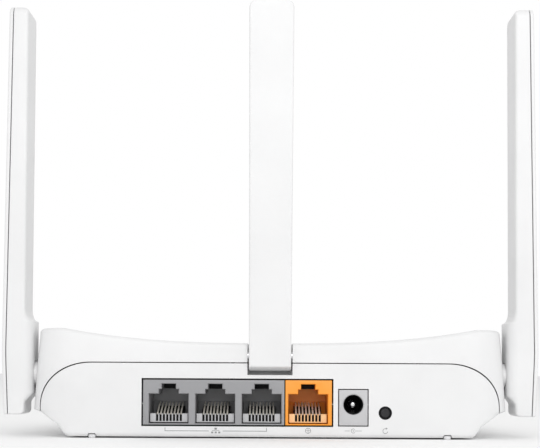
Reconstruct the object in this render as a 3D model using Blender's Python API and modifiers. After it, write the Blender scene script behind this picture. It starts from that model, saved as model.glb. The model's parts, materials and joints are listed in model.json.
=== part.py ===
"""Desktop wireless router with three folding antennas, as an assembly of separate pieces.

Frame: metres, +Z up, rear panel towards -Y, origin at the bottom centre of the overall box.
Left and right are as seen from behind, looking along +Y, so left is -X.
"""
import math

import bmesh
import bpy
from mathutils import Matrix, Vector

COLLECTION_NAME = "wireless_router"

# Fits
GAP = 0.0003                    # between pieces that touch, and round every pin
PANEL_GAP = 0.00045             # round the sockets in the rear panel
SLOT_CLEARANCE = 0.0005         # each side of the rear antenna in its pocket
CUT_PAST = 0.002                # how far a cutter runs past the surface that it opens

# Housing
CASE_HALF_WIDTH = 0.0718        # at its widest line
CASE_DEPTH = 0.098
UNDERSIDE_HEIGHT = 0.0005       # the feet stand this far below the case
WALL = 0.0018
REAR_TOP_HEIGHT = 0.0287        # top of the case at the rear, in the middle
SIDE_RISE = 0.0044              # how much higher the rear corners are
SIDE_RISE_AT = 0.065            # where that rise is complete
FRONT_TOP_HEIGHT = 0.018
WIDEST_HEIGHT = 0.0084
SIDE_LEAN = 0.064               # side walls lean in by this much per unit of height
REAR_LEAN = 0.12                # rear face above the seam
TOP_EDGE_RADIUS = 0.0012
REAR_CORNER_SPAN = 0.0111       # the rear corners are longer across than they are deep
REAR_CORNER_DEPTH = 0.006
LEAST_CORNER = 0.001
CORNER_NARROWING = 0.85         # the rear corners get this much tighter per unit of side inset
FRONT_CORNER = 0.024
# Lower sections: height, then inset of the sides, the rear and the front
LOWER_SECTIONS = (
    (0.0005, 0.0108, 0.0008, 0.0098),
    (0.0013, 0.0099, 0.0, 0.0090),
    (0.0040, 0.0080, 0.0, 0.0070),
    (0.0075, 0.0028, 0.0, 0.0024),
    (WIDEST_HEIGHT, 0.0, 0.0, 0.0),
)

# Seam between the bottom case, whose rear panel stands up, and the top cover
REAR_SEAM_HEIGHT = 0.0226
SIDE_SEAM_HEIGHT = 0.0075
SEAM_ARCH_WIDTH = 0.0155
SEAM_ARCH_HEIGHT = 0.013
SEAM_END_INSET = 0.0026
SEAM_WRAP = 0.0052              # how far the rear panel wraps round the corners

# Main board
BOARD_TOP = 0.0038
BOARD_THICKNESS = 0.001
BOARD_SIDE_INSET = 0.0148
BOARD_FRONT_INSET = 0.026
TONGUE_WIDTH = 0.012            # of the part that carries the indicator
TONGUE_PAST_LED = 0.003

# Network sockets
SOCKET_PITCH = 0.01397
FIRST_SOCKET_X = -0.0304
LAN_COUNT = 3
SOCKET_BLOCK_BOTTOM = 0.0041
SOCKET_BLOCK_HEIGHT = 0.0135
SOCKET_BLOCK_DEPTH = 0.018
SOCKET_SIDE_MARGIN = 0.0077     # from the first socket's centre to the block's end
SOCKET_WIDTH = 0.0119
SOCKET_HEIGHT = 0.0089
SOCKET_FLOOR = 0.0004
SOCKET_DEPTH = 0.014
STEP_WIDTH = 0.006
STEP_HEIGHT = 0.0014
LATCH_WIDTH = 0.0043
LATCH_HEIGHT = 0.0016
CONTACT_COUNT = 8
CONTACT_PITCH = 0.00102
CONTACT_WIDTH = 0.00045
CONTACT_RISE = 0.0060           # of the back ends of the wires, above the socket's floor
COMB_HEIGHT = 0.0026
COMB_DEPTH = 0.0032
COMB_INSET = 0.0016             # from the panel face to the comb

# Power socket
POWER_AFTER_BLOCK = 0.00215     # from the end of the socket block
POWER_WIDTH = 0.0086
POWER_HEIGHT = 0.0107
POWER_DEPTH = 0.014
POWER_HOLE_RADIUS = 0.003
POWER_HOLE_HEIGHT = 0.01035     # of its centre
POWER_HOLE_DEPTH = 0.0115
POWER_PIN_RADIUS = 0.001
POWER_PIN_START = 0.0025
POWER_LEAF_WIDTH = 0.002
POWER_LEAF_THICKNESS = 0.0004

# Reset switch
RESET_AFTER_POWER = 0.0096      # between centres
RESET_HEIGHT = 0.0079
RESET_PANEL_RADIUS = 0.00203
RESET_BUTTON_RADIUS = 0.00145
RESET_RECESS = 0.0004
RESET_TRAVEL = 0.0005
RESET_BODY_SIZE = 0.006
RESET_BODY_START = 0.005
RESET_BODY_DEPTH = 0.0045

# Feet and case screws
FOOT_TIP_RADIUS = 0.0008
FOOT_STEM_RADIUS = 0.0011
FOOT_STEM_TOP = 0.0011
FOOT_SIDE_INSET = 0.0184
FOOT_REAR_INSET = 0.001         # the rear feet show in notches in the rear edge
FOOT_FRONT_INSET = 0.017
SCREW_HEAD_RADIUS = 0.0024
SCREW_HEAD_HEIGHT = 0.0007
SCREW_RADIUS = 0.0013
SCREW_LENGTH = 0.0095
SCREW_RECESS = 0.0012
DRIVE_LENGTH = 0.0028           # of each arm of the cross in the head
DRIVE_WIDTH = 0.0006
DRIVE_DEPTH = 0.0004
BOSS_WALL = 0.0016
BOSS_BOTTOM = 0.0043
SCREW_SIDE_INSET = 0.0228
SCREW_REAR_INSET = 0.013
SCREW_FRONT_INSET = 0.036

# Cooling slots in the floor
VENT_COUNT = 9
VENT_PITCH = 0.0042
VENT_WIDTH = 0.0016
VENT_LENGTH = 0.018
VENT_FORWARD = 0.028            # from the rear face to the slots

# Antennas. Local frame: +X outwards, +Z up, origin on the pivot
ANTENNA_WIDTH = 0.0126
ANTENNA_TOP_WIDTH = 0.0137
ANTENNA_CORNER = 0.003
ANTENNA_WALL = 0.0012
ANTENNA_LID = 0.0011            # thickness of the outer shell
ANTENNA_TAPER = 0.0012          # how much thinner the blade is at the tip
SIDE_PIVOT_HEIGHT = 0.0192
SIDE_PIVOT_FORWARD = 0.0096
SIDE_BLADE_TOP = 0.1127         # above the pivot
SIDE_BLADE_BOTTOM = -0.0124
SIDE_HUB_STANDOFF = 0.0003      # from the widest line of the case to the hub
SIDE_BLADE_INNER = 0.0024
SIDE_BLADE_OUTER = 0.0094       # at the knee, its widest point
SIDE_BLADE_KNEE = 0.006
SIDE_BLADE_DRAW = 0.0008        # how far the outer face comes in at the bottom
BLADE_EDGE = 0.002              # rounding where the inner face meets the tip
STUB_EDGE = 0.0018
HUB_TOP = 0.016
HUB_BOTTOM = -0.0058
HUB_FLARE = 0.004
HUB_EDGE = 0.0012
HUB_RETURN = 0.0032             # height over which the hub runs back into the stub
SIDE_TUBE_RADIUS = 0.0037
SIDE_TUBE_BORE = 0.0015
SIDE_TUBE_INNER = -0.0089
SIDE_TUBE_OUTER = 0.003
CLIP_RADIUS = 0.0052
CLIP_THICKNESS = 0.0009
BEARING_WALL = 0.0017
REAR_PIVOT_HEIGHT = 0.0249
REAR_PIVOT_FORWARD = 0.002
REAR_BLADE_TOP = 0.1084
REAR_BLADE_EDGE = 0.0016
REAR_HEEL_DROP = 0.0028         # how far the flat outer face runs below the pivot
REAR_HEEL_EDGE = 0.0008
REAR_BARREL_RADIUS = 0.0045
REAR_BLADE_INNER = -0.0025
REAR_TUBE_RADIUS = 0.0012
REAR_TUBE_BORE = 0.0008
POCKET_RADIUS = 0.0058
POCKET_WALL = 0.0012
CHEEK = 0.002
COAX_RADIUS = 0.0006
REAR_COAX_RADIUS = 0.0005
RADIATOR_WIDTH = 0.005
RADIATOR_THICKNESS = 0.0005
RADIATOR_LENGTH = 0.052
RADIATOR_TOP_INSET = 0.008

# Parts on the board: centre across, centre forward of the rear face, width, length, height
CHIPS = {
    "processor_chip": (-0.012, 0.040, 0.014, 0.014, 0.0014),
    "memory_chip": (0.010, 0.040, 0.011, 0.018, 0.0011),
    "flash_chip": (0.026, 0.036, 0.0052, 0.0079, 0.0015),
    "lan_transformer": (-0.022, 0.0245, 0.024, 0.0085, 0.0055),
    "wan_transformer": (0.0105, 0.0245, 0.0125, 0.0085, 0.0055),
}
CLOCK_CRYSTAL = (-0.028, 0.038, 0.005, 0.0032, 0.001)
# Centre across is from the power socket's centre for these
POWER_INDUCTOR = (0.0029, 0.0205, 0.0058, 0.0058, 0.0028)
CHIP_CHAMFER = 0.0003
CAPACITOR_PLACES = ((0.0114, 0.021), (0.0114, 0.031))
CAPACITOR_RADIUS = 0.0031
CAPACITOR_HEIGHT = 0.0082
CAPACITOR_CRIMP = 0.001         # height of the groove round the foot of the can
CAPACITOR_EDGE = 0.0003

# Indicator
LED_FRONT_INSET = 0.014
LIGHT_PIPE_RADIUS = 0.0012
LED_SIZE = 0.0016
LIGHT_PIPE_RECESS = 0.0004      # below the cover
LIGHT_PIPE_EDGE = 0.0003

# Worked out from the sizes above
REAR_PROTRUSION = REAR_BARREL_RADIUS - REAR_PIVOT_FORWARD
REAR_Y = -(CASE_DEPTH - REAR_PROTRUSION) / 2
FRONT_Y = REAR_Y + CASE_DEPTH
FLOOR_TOP = UNDERSIDE_HEIGHT + WALL
PART_BASE = BOARD_TOP + GAP
SOCKET_X = [FIRST_SOCKET_X + SOCKET_PITCH * i for i in range(LAN_COUNT + 1)]
BLOCK_START_X = SOCKET_X[0] - SOCKET_SIDE_MARGIN
BLOCK_SPLIT_X = (SOCKET_X[LAN_COUNT - 1] + SOCKET_X[LAN_COUNT]) / 2
BLOCK_END_X = SOCKET_X[LAN_COUNT] + (SOCKET_PITCH + GAP) / 2
POWER_X = BLOCK_END_X + POWER_AFTER_BLOCK + POWER_WIDTH / 2
RESET_X = POWER_X + RESET_AFTER_POWER
BOSS_RADIUS = SCREW_RADIUS + GAP + BOSS_WALL
SCREW_X = max(CASE_HALF_WIDTH - SCREW_SIDE_INSET, BOSS_RADIUS + GAP - BLOCK_START_X)
BLOCK_TOP = SOCKET_BLOCK_BOTTOM + SOCKET_BLOCK_HEIGHT
SOCKET_BOTTOM = SOCKET_BLOCK_BOTTOM + SOCKET_FLOOR
HUB_FACE_X = CASE_HALF_WIDTH + SIDE_HUB_STANDOFF
SIDE_PIVOT_Y = REAR_Y + SIDE_PIVOT_FORWARD
REAR_PIVOT_Y = REAR_Y + REAR_PIVOT_FORWARD
POCKET_HALF_WIDTH = ANTENNA_WIDTH / 2 + SLOT_CLEARANCE
POCKET_BOTTOM = REAR_PIVOT_HEIGHT - POCKET_RADIUS
POCKET_FRONT_Y = REAR_PIVOT_Y + POCKET_RADIUS


# ---------------------------------------------------------------- scene helpers

def clear_scene():
    for old in list(bpy.data.objects):
        bpy.data.objects.remove(old, do_unlink=True)


def make_collection(name):
    collection = bpy.data.collections.new(name)
    bpy.context.scene.collection.children.link(collection)
    return collection


def make_material(name, color, roughness, metallic=0.0):
    material = bpy.data.materials.new(name)
    material.use_nodes = True
    shader = material.node_tree.nodes["Principled BSDF"]
    shader.inputs["Base Color"].default_value = (*color, 1.0)
    shader.inputs["Roughness"].default_value = roughness
    shader.inputs["Metallic"].default_value = metallic
    return material


def add_object(name, mesh, material=None, parent=None):
    """A visible piece has a material. Without one the object is a cutter or a filler."""
    thing = bpy.data.objects.new(name, mesh)
    if material is None:
        CUTTERS.objects.link(thing)
        thing.hide_render = True
        thing.display_type = 'WIRE'
    else:
        PIECES.objects.link(thing)
        mesh.materials.append(material)
    thing.parent = parent
    return thing


def add_pivot(name, location, turn=0.0):
    pivot = bpy.data.objects.new(name, None)
    pivot.location = location
    pivot.rotation_euler = (0.0, 0.0, turn)
    pivot.empty_display_size = 0.01
    PIECES.objects.link(pivot)
    return pivot


def mesh_from(bm, name):
    bmesh.ops.recalc_face_normals(bm, faces=bm.faces)
    mesh = bpy.data.meshes.new(name)
    bm.to_mesh(mesh)
    bm.free()
    return mesh


def boolean(target, tool, operation):
    modifier = target.modifiers.new(tool.name, 'BOOLEAN')
    modifier.object = tool
    modifier.operation = operation
    modifier.solver = 'EXACT'


def cut(target, *tools):
    for tool in tools:
        boolean(target, tool, 'DIFFERENCE')


def join(target, *tools):
    for tool in tools:
        boolean(target, tool, 'UNION')


def keep(target, *tools):
    for tool in tools:
        boolean(target, tool, 'INTERSECT')


# ---------------------------------------------------------------- shapes

def box(name, low, high, material=None, parent=None, chamfer=0.0):
    size = Vector(high) - Vector(low)
    middle = (Vector(high) + Vector(low)) / 2
    bm = bmesh.new()
    matrix = Matrix.Translation(middle) @ Matrix.Diagonal((*size, 1.0))
    bmesh.ops.create_cube(bm, size=1.0, matrix=matrix)
    if chamfer:
        bmesh.ops.bevel(bm, geom=bm.edges[:], offset=chamfer, segments=1, affect='EDGES')
    return add_object(name, mesh_from(bm, name), material, parent)


def along(axis, start):
    """Matrix that lays +Z along the named axis, with its origin at start."""
    turns = {
        'X': Matrix.Rotation(math.pi / 2, 4, 'Y'),
        'Y': Matrix.Rotation(-math.pi / 2, 4, 'X'),
        'Z': Matrix.Identity(4),
    }
    return Matrix.Translation(start) @ turns[axis]


def cylinder(name, start, length, radius, axis, material=None, parent=None, sides=24):
    bm = bmesh.new()
    matrix = along(axis, start) @ Matrix.Translation((0.0, 0.0, length / 2))
    bmesh.ops.create_cone(bm, cap_ends=True, segments=sides, radius1=radius, radius2=radius,
                          depth=length, matrix=matrix)
    thing = add_object(name, mesh_from(bm, name), material, parent)
    smooth_round(thing.data)
    return thing


def smooth_round(mesh):
    mesh.shade_smooth()
    mesh.set_sharp_from_angle(angle=math.radians(35))


def flat_outline(name, points, low, high, plane, material=None, parent=None):
    """Extrude a closed outline. Plane XZ runs from low to high along Y, plane YZ along X."""
    bm = bmesh.new()
    if plane == 'XZ':
        corners = [bm.verts.new((u, low, v)) for u, v in points]
        step = Vector((0.0, high - low, 0.0))
    else:
        corners = [bm.verts.new((low, u, v)) for u, v in points]
        step = Vector((high - low, 0.0, 0.0))
    face = bm.faces.new(corners)
    grown = bmesh.ops.extrude_face_region(bm, geom=[face], use_keep_orig=True)
    moved = [item for item in grown["geom"] if isinstance(item, bmesh.types.BMVert)]
    bmesh.ops.translate(bm, verts=moved, vec=step)
    return add_object(name, mesh_from(bm, name), material, parent)


def turned(name, profile, center, material=None, parent=None, steps=24):
    """Turn a profile of (radius, height) pairs, listed top to bottom, about +Z."""
    bm = bmesh.new()
    points = [bm.verts.new((radius, 0.0, height)) for radius, height in profile]
    for upper, lower in zip(points, points[1:]):
        bm.edges.new((upper, lower))
    mesh = bpy.data.meshes.new(name)
    bm.to_mesh(mesh)
    bm.free()
    thing = add_object(name, mesh, material, parent)
    thing.location = center
    screw = thing.modifiers.new("turn", 'SCREW')
    screw.axis = 'Z'
    screw.steps = steps
    screw.render_steps = steps
    screw.use_merge_vertices = True
    screw.merge_threshold = 0.00001
    screw.use_smooth_shade = False
    return thing


def wire(name, points, radius, material, parent=None, closeness=0.0026):
    """A round lead on a smooth curve through the points, with flat filled ends."""
    path = smooth_path(points, closeness)
    curve = bpy.data.curves.new(name, 'CURVE')
    curve.dimensions = '3D'
    curve.bevel_depth = radius
    curve.bevel_resolution = 2
    curve.use_fill_caps = True
    spline = curve.splines.new('POLY')
    spline.points.add(len(path) - 1)
    for knot, place in zip(spline.points, path):
        knot.co = (*place, 1.0)
    curve.materials.append(material)
    thing = bpy.data.objects.new(name, curve)
    PIECES.objects.link(thing)
    thing.parent = parent
    return thing


def smooth_path(points, closeness):
    """Catmull-Rom curve through the points, sampled about every closeness."""
    knots = [Vector(point) for point in points]
    knots = [knots[0] * 2 - knots[1]] + knots + [knots[-1] * 2 - knots[-2]]
    path = [knots[1]]
    for a, b, c, d in zip(knots, knots[1:], knots[2:], knots[3:]):
        count = max(1, round((c - b).length / closeness))
        for i in range(1, count + 1):
            t = i / count
            path.append(0.5 * (2 * b + (c - a) * t + (2 * a - 5 * b + 4 * c - d) * t ** 2
                               + (3 * b - a - 3 * c + d) * t ** 3))
    return path


def arc(center, radius, start, end, count):
    """Points on an arc, from start to end degrees."""
    return oval_arc(center, radius, radius, start, end, count)


def oval_arc(center, across, along_y, start, end, count):
    """Points on an arc of an ellipse with the two half-sizes given."""
    angles = [math.radians(start + (end - start) * i / count) for i in range(count + 1)]
    return [(center[0] + across * math.cos(a), center[1] + along_y * math.sin(a)) for a in angles]


# ---------------------------------------------------------------- housing form

def top_height(x, y):
    """Height of the cover: dished across the rear and falling towards the front."""
    rear = REAR_TOP_HEIGHT + SIDE_RISE * min(abs(x) / SIDE_RISE_AT, 1.0) ** 2.7
    forward = min(max((y - REAR_Y) / CASE_DEPTH, 0.0), 1.0)
    return FRONT_TOP_HEIGHT + (rear - FRONT_TOP_HEIGHT) * (1.0 - forward ** 1.6)


def plan_outline(side_inset, rear_inset, front_inset, rear_span, rear_depth, front_radius):
    """Rounded plan of the case, anticlockwise from the left end of the rear edge."""
    half = CASE_HALF_WIDTH - side_inset
    rear = REAR_Y + rear_inset
    front = FRONT_Y - front_inset
    corners = (
        oval_arc((half - rear_span, rear + rear_depth), rear_span, rear_depth, -90, 0, 6),
        arc((half - front_radius, front - front_radius), front_radius, 0, 90, 6),
        arc((-half + front_radius, front - front_radius), front_radius, 90, 180, 6),
        oval_arc((-half + rear_span, rear + rear_depth), rear_span, rear_depth, 180, 270, 6),
    )
    points = []
    for index, corner in enumerate(corners):
        following = corners[(index + 1) % 4][0]
        points += corner
        edge_count = 10 if index % 2 else 5
        for i in range(1, edge_count):
            share = i / edge_count
            points.append((corner[-1][0] + (following[0] - corner[-1][0]) * share,
                           corner[-1][1] + (following[1] - corner[-1][1]) * share))
    return points


def case_rings(inset):
    """Rings of points from the underside up and over to the middle of the top."""
    rings = []
    for height, side, rear, front in LOWER_SECTIONS:
        lift = inset if height <= UNDERSIDE_HEIGHT else inset * 0.6
        narrowing = side * CORNER_NARROWING + inset
        plan = plan_outline(side + inset, rear + inset, front + inset,
                            max(REAR_CORNER_SPAN - narrowing, LEAST_CORNER),
                            max(REAR_CORNER_DEPTH - narrowing, LEAST_CORNER), FRONT_CORNER - front - inset)
        rings.append([(x, y, height + lift) for x, y in plan])
    edge = max(TOP_EDGE_RADIUS - inset, 0.0006)
    base = WIDEST_HEIGHT + inset * 0.6
    for share in (0.3, 0.6, 1.0):
        rings.append(upper_ring(inset, 0.0, base, edge, share))
    for turn in (30, 60, 90):
        inward = edge * (1 - math.cos(math.radians(turn)))
        drop = edge * (1 - math.sin(math.radians(turn)))
        rings.append(upper_ring(inset, inward, base, drop, 1.0))
    rim = rings[-1]
    for scale in (0.82, 0.6, 0.36, 0.12):
        inner = [(x * scale, y * scale) for x, y, _ in rim]
        rings.append([(x, y, top_height(x, y) - inset) for x, y in inner])
    return rings


def upper_ring(inset, inward, base, drop, share):
    """A ring on the walls. Share runs from 0 at the base to 1 at drop below the top."""
    rough = plan_outline(inset, inset, inset, REAR_CORNER_SPAN - inset, REAR_CORNER_DEPTH - inset,
                         FRONT_CORNER - inset)
    ring = []
    for x, y in rough:
        top = top_height(x, y) - inset - drop
        height = base + (top - base) * share
        side = SIDE_LEAN * (height - WIDEST_HEIGHT)
        rear = REAR_LEAN * max(height - REAR_SEAM_HEIGHT, 0.0)
        half = CASE_HALF_WIDTH - inset
        squeeze = (half - side - inward) / half
        middle = (REAR_Y + FRONT_Y) / 2
        rear_part = max((middle - y) / (middle - REAR_Y), 0.0)
        front_part = max((y - middle) / (FRONT_Y - middle), 0.0)
        shifted = y + (rear + inward) * rear_part - (side + inward) * front_part
        ring.append((x * squeeze, shifted, height))
    return ring


def case_solid(name, inset):
    bm = bmesh.new()
    rings = [[bm.verts.new(point) for point in ring] for ring in case_rings(inset)]
    for lower, upper in zip(rings, rings[1:]):
        count = len(lower)
        for i in range(count):
            following = (i + 1) % count
            bm.faces.new((lower[i], lower[following], upper[following], upper[i]))
    bm.faces.new(rings[0])
    bm.faces.new(rings[-1])
    return mesh_from(bm, name)


def seam_profile(grow):
    """Rear view of what belongs to the bottom case: flat on top with elliptical shoulders."""
    half = CASE_HALF_WIDTH - SEAM_END_INSET + grow
    top = REAR_SEAM_HEIGHT + grow
    width = SEAM_ARCH_WIDTH
    shoulder = []
    for i in range(9):
        angle = math.radians(90 * i / 8)
        drop = SEAM_ARCH_HEIGHT * (1 - math.cos(angle))
        shoulder.append((half - width + width * math.sin(angle), top - drop))
    right = shoulder + [(half, -CUT_PAST)]
    left = [(-x, z) for x, z in reversed(right)]
    return left + right


def bottom_region(name, grow):
    """Everything below the seam, as one solid."""
    far = CASE_HALF_WIDTH + 0.01
    region = flat_outline(name, seam_profile(grow), REAR_Y - 0.01, REAR_Y + SEAM_WRAP + grow, 'XZ')
    below = box(name + "_low", (-far, REAR_Y - 0.012, -CUT_PAST * 2),
                (far, FRONT_Y + 0.01, SIDE_SEAM_HEIGHT + grow))
    pocket = box(name + "_pocket",
                 (-POCKET_HALF_WIDTH - CHEEK - GAP - grow, REAR_Y - CUT_PAST,
                  POCKET_BOTTOM - POCKET_WALL - GAP),
                 (POCKET_HALF_WIDTH + CHEEK + GAP + grow, POCKET_FRONT_Y + POCKET_WALL + GAP + grow,
                  REAR_SEAM_HEIGHT + grow))
    join(region, below, pocket)
    return region


def whole_case(name, material):
    """The case as one solid, before it is hollowed and the seam parts it."""
    thing = add_object(name, case_solid(name, 0.0), material)
    smooth_round(thing.data)
    return thing


def pocket_block(name, top):
    return box(name,
               (-POCKET_HALF_WIDTH - CHEEK, REAR_Y + WALL / 2, POCKET_BOTTOM - POCKET_WALL),
               (POCKET_HALF_WIDTH + CHEEK, POCKET_FRONT_Y + POCKET_WALL, top))


def screw_places():
    """Kept clear of the ends of the socket block."""
    x = SCREW_X
    rear = REAR_Y + SCREW_REAR_INSET
    front = FRONT_Y - SCREW_FRONT_INSET
    return [(-x, rear), (x, rear), (-x, front), (x, front)]


def foot_places():
    x = CASE_HALF_WIDTH - FOOT_SIDE_INSET
    rear = REAR_Y + FOOT_REAR_INSET
    front = FRONT_Y - FOOT_FRONT_INSET
    return [(-x, rear), (x, rear), (-x, front), (x, front)]


def build_housing():
    cavity = add_object("cavity", case_solid("cavity", WALL))
    block = pocket_block("pocket_walls", REAR_TOP_HEIGHT - WALL / 2)
    pocket = box("pocket_space", (-POCKET_HALF_WIDTH, REAR_Y - CUT_PAST * 2, POCKET_BOTTOM),
                 (POCKET_HALF_WIDTH, POCKET_FRONT_Y, REAR_TOP_HEIGHT + 0.01))
    build_bottom_case(cavity, block, pocket)
    build_top_cover(cavity, block, pocket)


def build_bottom_case(cavity, block, pocket):
    case = whole_case("bottom_case", PLASTIC_WHITE)
    cut(case, cavity)
    join(case, block)
    keep(case, bottom_region("below_seam", 0.0))
    cut(case, pocket)
    cut(case, *panel_cutters())
    for index, (x, y) in enumerate(foot_places()):
        cut(case, cylinder(f"foot_socket_{index}", (x, y, UNDERSIDE_HEIGHT - CUT_PAST),
                           CUT_PAST + FOOT_STEM_TOP + GAP - UNDERSIDE_HEIGHT, FOOT_STEM_RADIUS + GAP, 'Z',
                           sides=16))
    for index, (x, y) in enumerate(screw_places()):
        cut(case, cylinder(f"screw_recess_{index}", (x, y, -CUT_PAST),
                           CUT_PAST + UNDERSIDE_HEIGHT + SCREW_RECESS, SCREW_HEAD_RADIUS + GAP, 'Z',
                           sides=16))
        cut(case, cylinder(f"screw_way_{index}", (x, y, 0.0), FLOOR_TOP + CUT_PAST, SCREW_RADIUS + GAP, 'Z',
                           sides=16))
    for side in (-1, 1):
        for index in range(VENT_COUNT):
            x = side * VENT_PITCH * (index + 1.0)
            start = REAR_Y + VENT_FORWARD
            cut(case, box(f"vent_{side}_{index}", (x - VENT_WIDTH / 2, start, -CUT_PAST),
                          (x + VENT_WIDTH / 2, start + VENT_LENGTH, FLOOR_TOP + CUT_PAST / 4)))


def panel_cutters():
    """Openings in the rear panel for the sockets and the reset button."""
    front = REAR_Y - CUT_PAST
    back = REAR_Y + WALL + CUT_PAST
    sockets = box("sockets_opening", (BLOCK_START_X - PANEL_GAP, front, SOCKET_BLOCK_BOTTOM - PANEL_GAP),
                  (BLOCK_END_X + PANEL_GAP, back, BLOCK_TOP + PANEL_GAP))
    power = box("power_opening", (POWER_X - POWER_WIDTH / 2 - GAP, front, SOCKET_BLOCK_BOTTOM - GAP),
                (POWER_X + POWER_WIDTH / 2 + GAP, back, SOCKET_BLOCK_BOTTOM + POWER_HEIGHT + GAP))
    reset = cylinder("reset_opening", (RESET_X, front, RESET_HEIGHT), back - front, RESET_PANEL_RADIUS, 'Y')
    return sockets, power, reset


def build_top_cover(cavity, block, pocket):
    cover = whole_case("top_cover", PLASTIC_WHITE)
    cut(cover, cavity)
    join(cover, block)
    for index, (x, y) in enumerate(screw_places()):
        top = top_height(x, y) - WALL / 2
        join(cover, cylinder(f"boss_{index}", (x, y, BOSS_BOTTOM), top - BOSS_BOTTOM,
                             BOSS_RADIUS, 'Z', sides=16))
    for side in (-1, 1):
        inner = HUB_FACE_X + SIDE_TUBE_INNER + GAP * 3 + CLIP_THICKNESS + GAP
        start = min(side * inner, side * (CASE_HALF_WIDTH - WALL))
        length = CASE_HALF_WIDTH - WALL - inner
        join(cover, cylinder(f"bearing_{side}", (start, SIDE_PIVOT_Y, SIDE_PIVOT_HEIGHT), length,
                             SIDE_TUBE_RADIUS + GAP + BEARING_WALL, 'X'))
    cut(cover, bottom_region("above_seam", GAP))
    cut(cover, pocket)
    for index, (x, y) in enumerate(screw_places()):
        cut(cover, cylinder(f"boss_bore_{index}", (x, y, BOSS_BOTTOM - CUT_PAST),
                            UNDERSIDE_HEIGHT + SCREW_LENGTH + GAP * 4 - BOSS_BOTTOM + CUT_PAST,
                            SCREW_RADIUS + GAP, 'Z', sides=16))
    reach = CASE_HALF_WIDTH + 0.01
    for side in (-1, 1):
        start = min(side * (CASE_HALF_WIDTH - 0.02), side * reach)
        cut(cover, cylinder(f"side_bore_{side}", (start, SIDE_PIVOT_Y, SIDE_PIVOT_HEIGHT), 0.03,
                            SIDE_TUBE_RADIUS + GAP, 'X'))
    cheeks = POCKET_HALF_WIDTH + CHEEK + CUT_PAST
    cut(cover, cylinder("cheek_bore", (-cheeks, REAR_PIVOT_Y, REAR_PIVOT_HEIGHT), 2 * cheeks,
                        REAR_TUBE_RADIUS + GAP, 'X'))
    led_y = FRONT_Y - LED_FRONT_INSET
    cut(cover, cylinder("indicator_opening", (0.0, led_y, BOSS_BOTTOM), REAR_TOP_HEIGHT,
                        LIGHT_PIPE_RADIUS + GAP, 'Z', sides=16))


def build_feet_and_screws():
    for index, (x, y) in enumerate(foot_places(), start=1):
        turned(f"foot_{index}", (
            (0.0, FOOT_STEM_TOP),
            (FOOT_STEM_RADIUS, FOOT_STEM_TOP),
            (FOOT_STEM_RADIUS, UNDERSIDE_HEIGHT - GAP / 2),
            ((FOOT_TIP_RADIUS + FOOT_STEM_RADIUS) / 2, UNDERSIDE_HEIGHT / 5),
            (FOOT_TIP_RADIUS, 0.0),
            (0.0, 0.0),
        ), (x, y, 0.0), RUBBER_GREY, steps=16)
    for index, (x, y) in enumerate(screw_places(), start=1):
        head = UNDERSIDE_HEIGHT + SCREW_RECESS - GAP
        screw = turned(f"case_screw_{index}", (
            (0.0, UNDERSIDE_HEIGHT + SCREW_LENGTH),
            (SCREW_RADIUS * 0.6, UNDERSIDE_HEIGHT + SCREW_LENGTH),
            (SCREW_RADIUS, UNDERSIDE_HEIGHT + SCREW_LENGTH - SCREW_RADIUS),
            (SCREW_RADIUS, head),
            (SCREW_HEAD_RADIUS, head),
            (SCREW_HEAD_RADIUS, head - SCREW_HEAD_HEIGHT),
            (0.0, head - SCREW_HEAD_HEIGHT),
        ), (x, y, 0.0), STEEL, steps=16)
        for name, turn in (("a", 0.0), ("b", math.pi / 2)):
            slot = box(f"drive_{index}{name}", (-DRIVE_LENGTH / 2, -DRIVE_WIDTH / 2, -DRIVE_DEPTH),
                       (DRIVE_LENGTH / 2, DRIVE_WIDTH / 2, DRIVE_DEPTH))
            slot.location = (x, y, head - SCREW_HEAD_HEIGHT)
            slot.rotation_euler = (0.0, 0.0, turn)
            cut(screw, slot)


# ---------------------------------------------------------------- electronics

def board_part(name, place, material, start_x=0.0):
    across, forward, width, length, height = place
    x = start_x + across
    y = REAR_Y + forward
    box(name, (x - width / 2, y - length / 2, PART_BASE),
        (x + width / 2, y + length / 2, PART_BASE + height), material, chamfer=CHIP_CHAMFER)


def build_board():
    half = CASE_HALF_WIDTH - BOARD_SIDE_INSET
    low = BOARD_TOP - BOARD_THICKNESS
    front = FRONT_Y - BOARD_FRONT_INSET
    board = box("main_board", (-half, REAR_Y + WALL + GAP, low), (half, front, BOARD_TOP), BOARD_GREEN)
    join(board, box("indicator_tongue", (-TONGUE_WIDTH / 2, front - CUT_PAST, low),
                    (TONGUE_WIDTH / 2, FRONT_Y - LED_FRONT_INSET + TONGUE_PAST_LED, BOARD_TOP)))
    for index, (x, y) in enumerate(screw_places()):
        cut(board, cylinder(f"board_way_{index}", (x, y, 0.0), BOARD_TOP + CUT_PAST,
                            SCREW_RADIUS + GAP * 2, 'Z', sides=16))
    for name, place in CHIPS.items():
        board_part(name, place, CHIP_BLACK)
    board_part("power_inductor", POWER_INDUCTOR, FERRITE, POWER_X)
    board_part("clock_crystal", CLOCK_CRYSTAL, STEEL)
    rim = CAPACITOR_RADIUS - CAPACITOR_EDGE
    for index, (across, forward) in enumerate(CAPACITOR_PLACES, start=1):
        turned(f"power_capacitor_{index}", (
            (0.0, CAPACITOR_HEIGHT),
            (rim, CAPACITOR_HEIGHT),
            (CAPACITOR_RADIUS, CAPACITOR_HEIGHT - CAPACITOR_EDGE),
            (CAPACITOR_RADIUS, CAPACITOR_CRIMP + CAPACITOR_EDGE),
            (rim, CAPACITOR_CRIMP),
            (CAPACITOR_RADIUS, CAPACITOR_CRIMP - CAPACITOR_EDGE),
            (CAPACITOR_RADIUS, 0.0),
            (0.0, 0.0),
        ), (POWER_X + across, REAR_Y + forward, PART_BASE), STEEL, steps=20)


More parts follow.
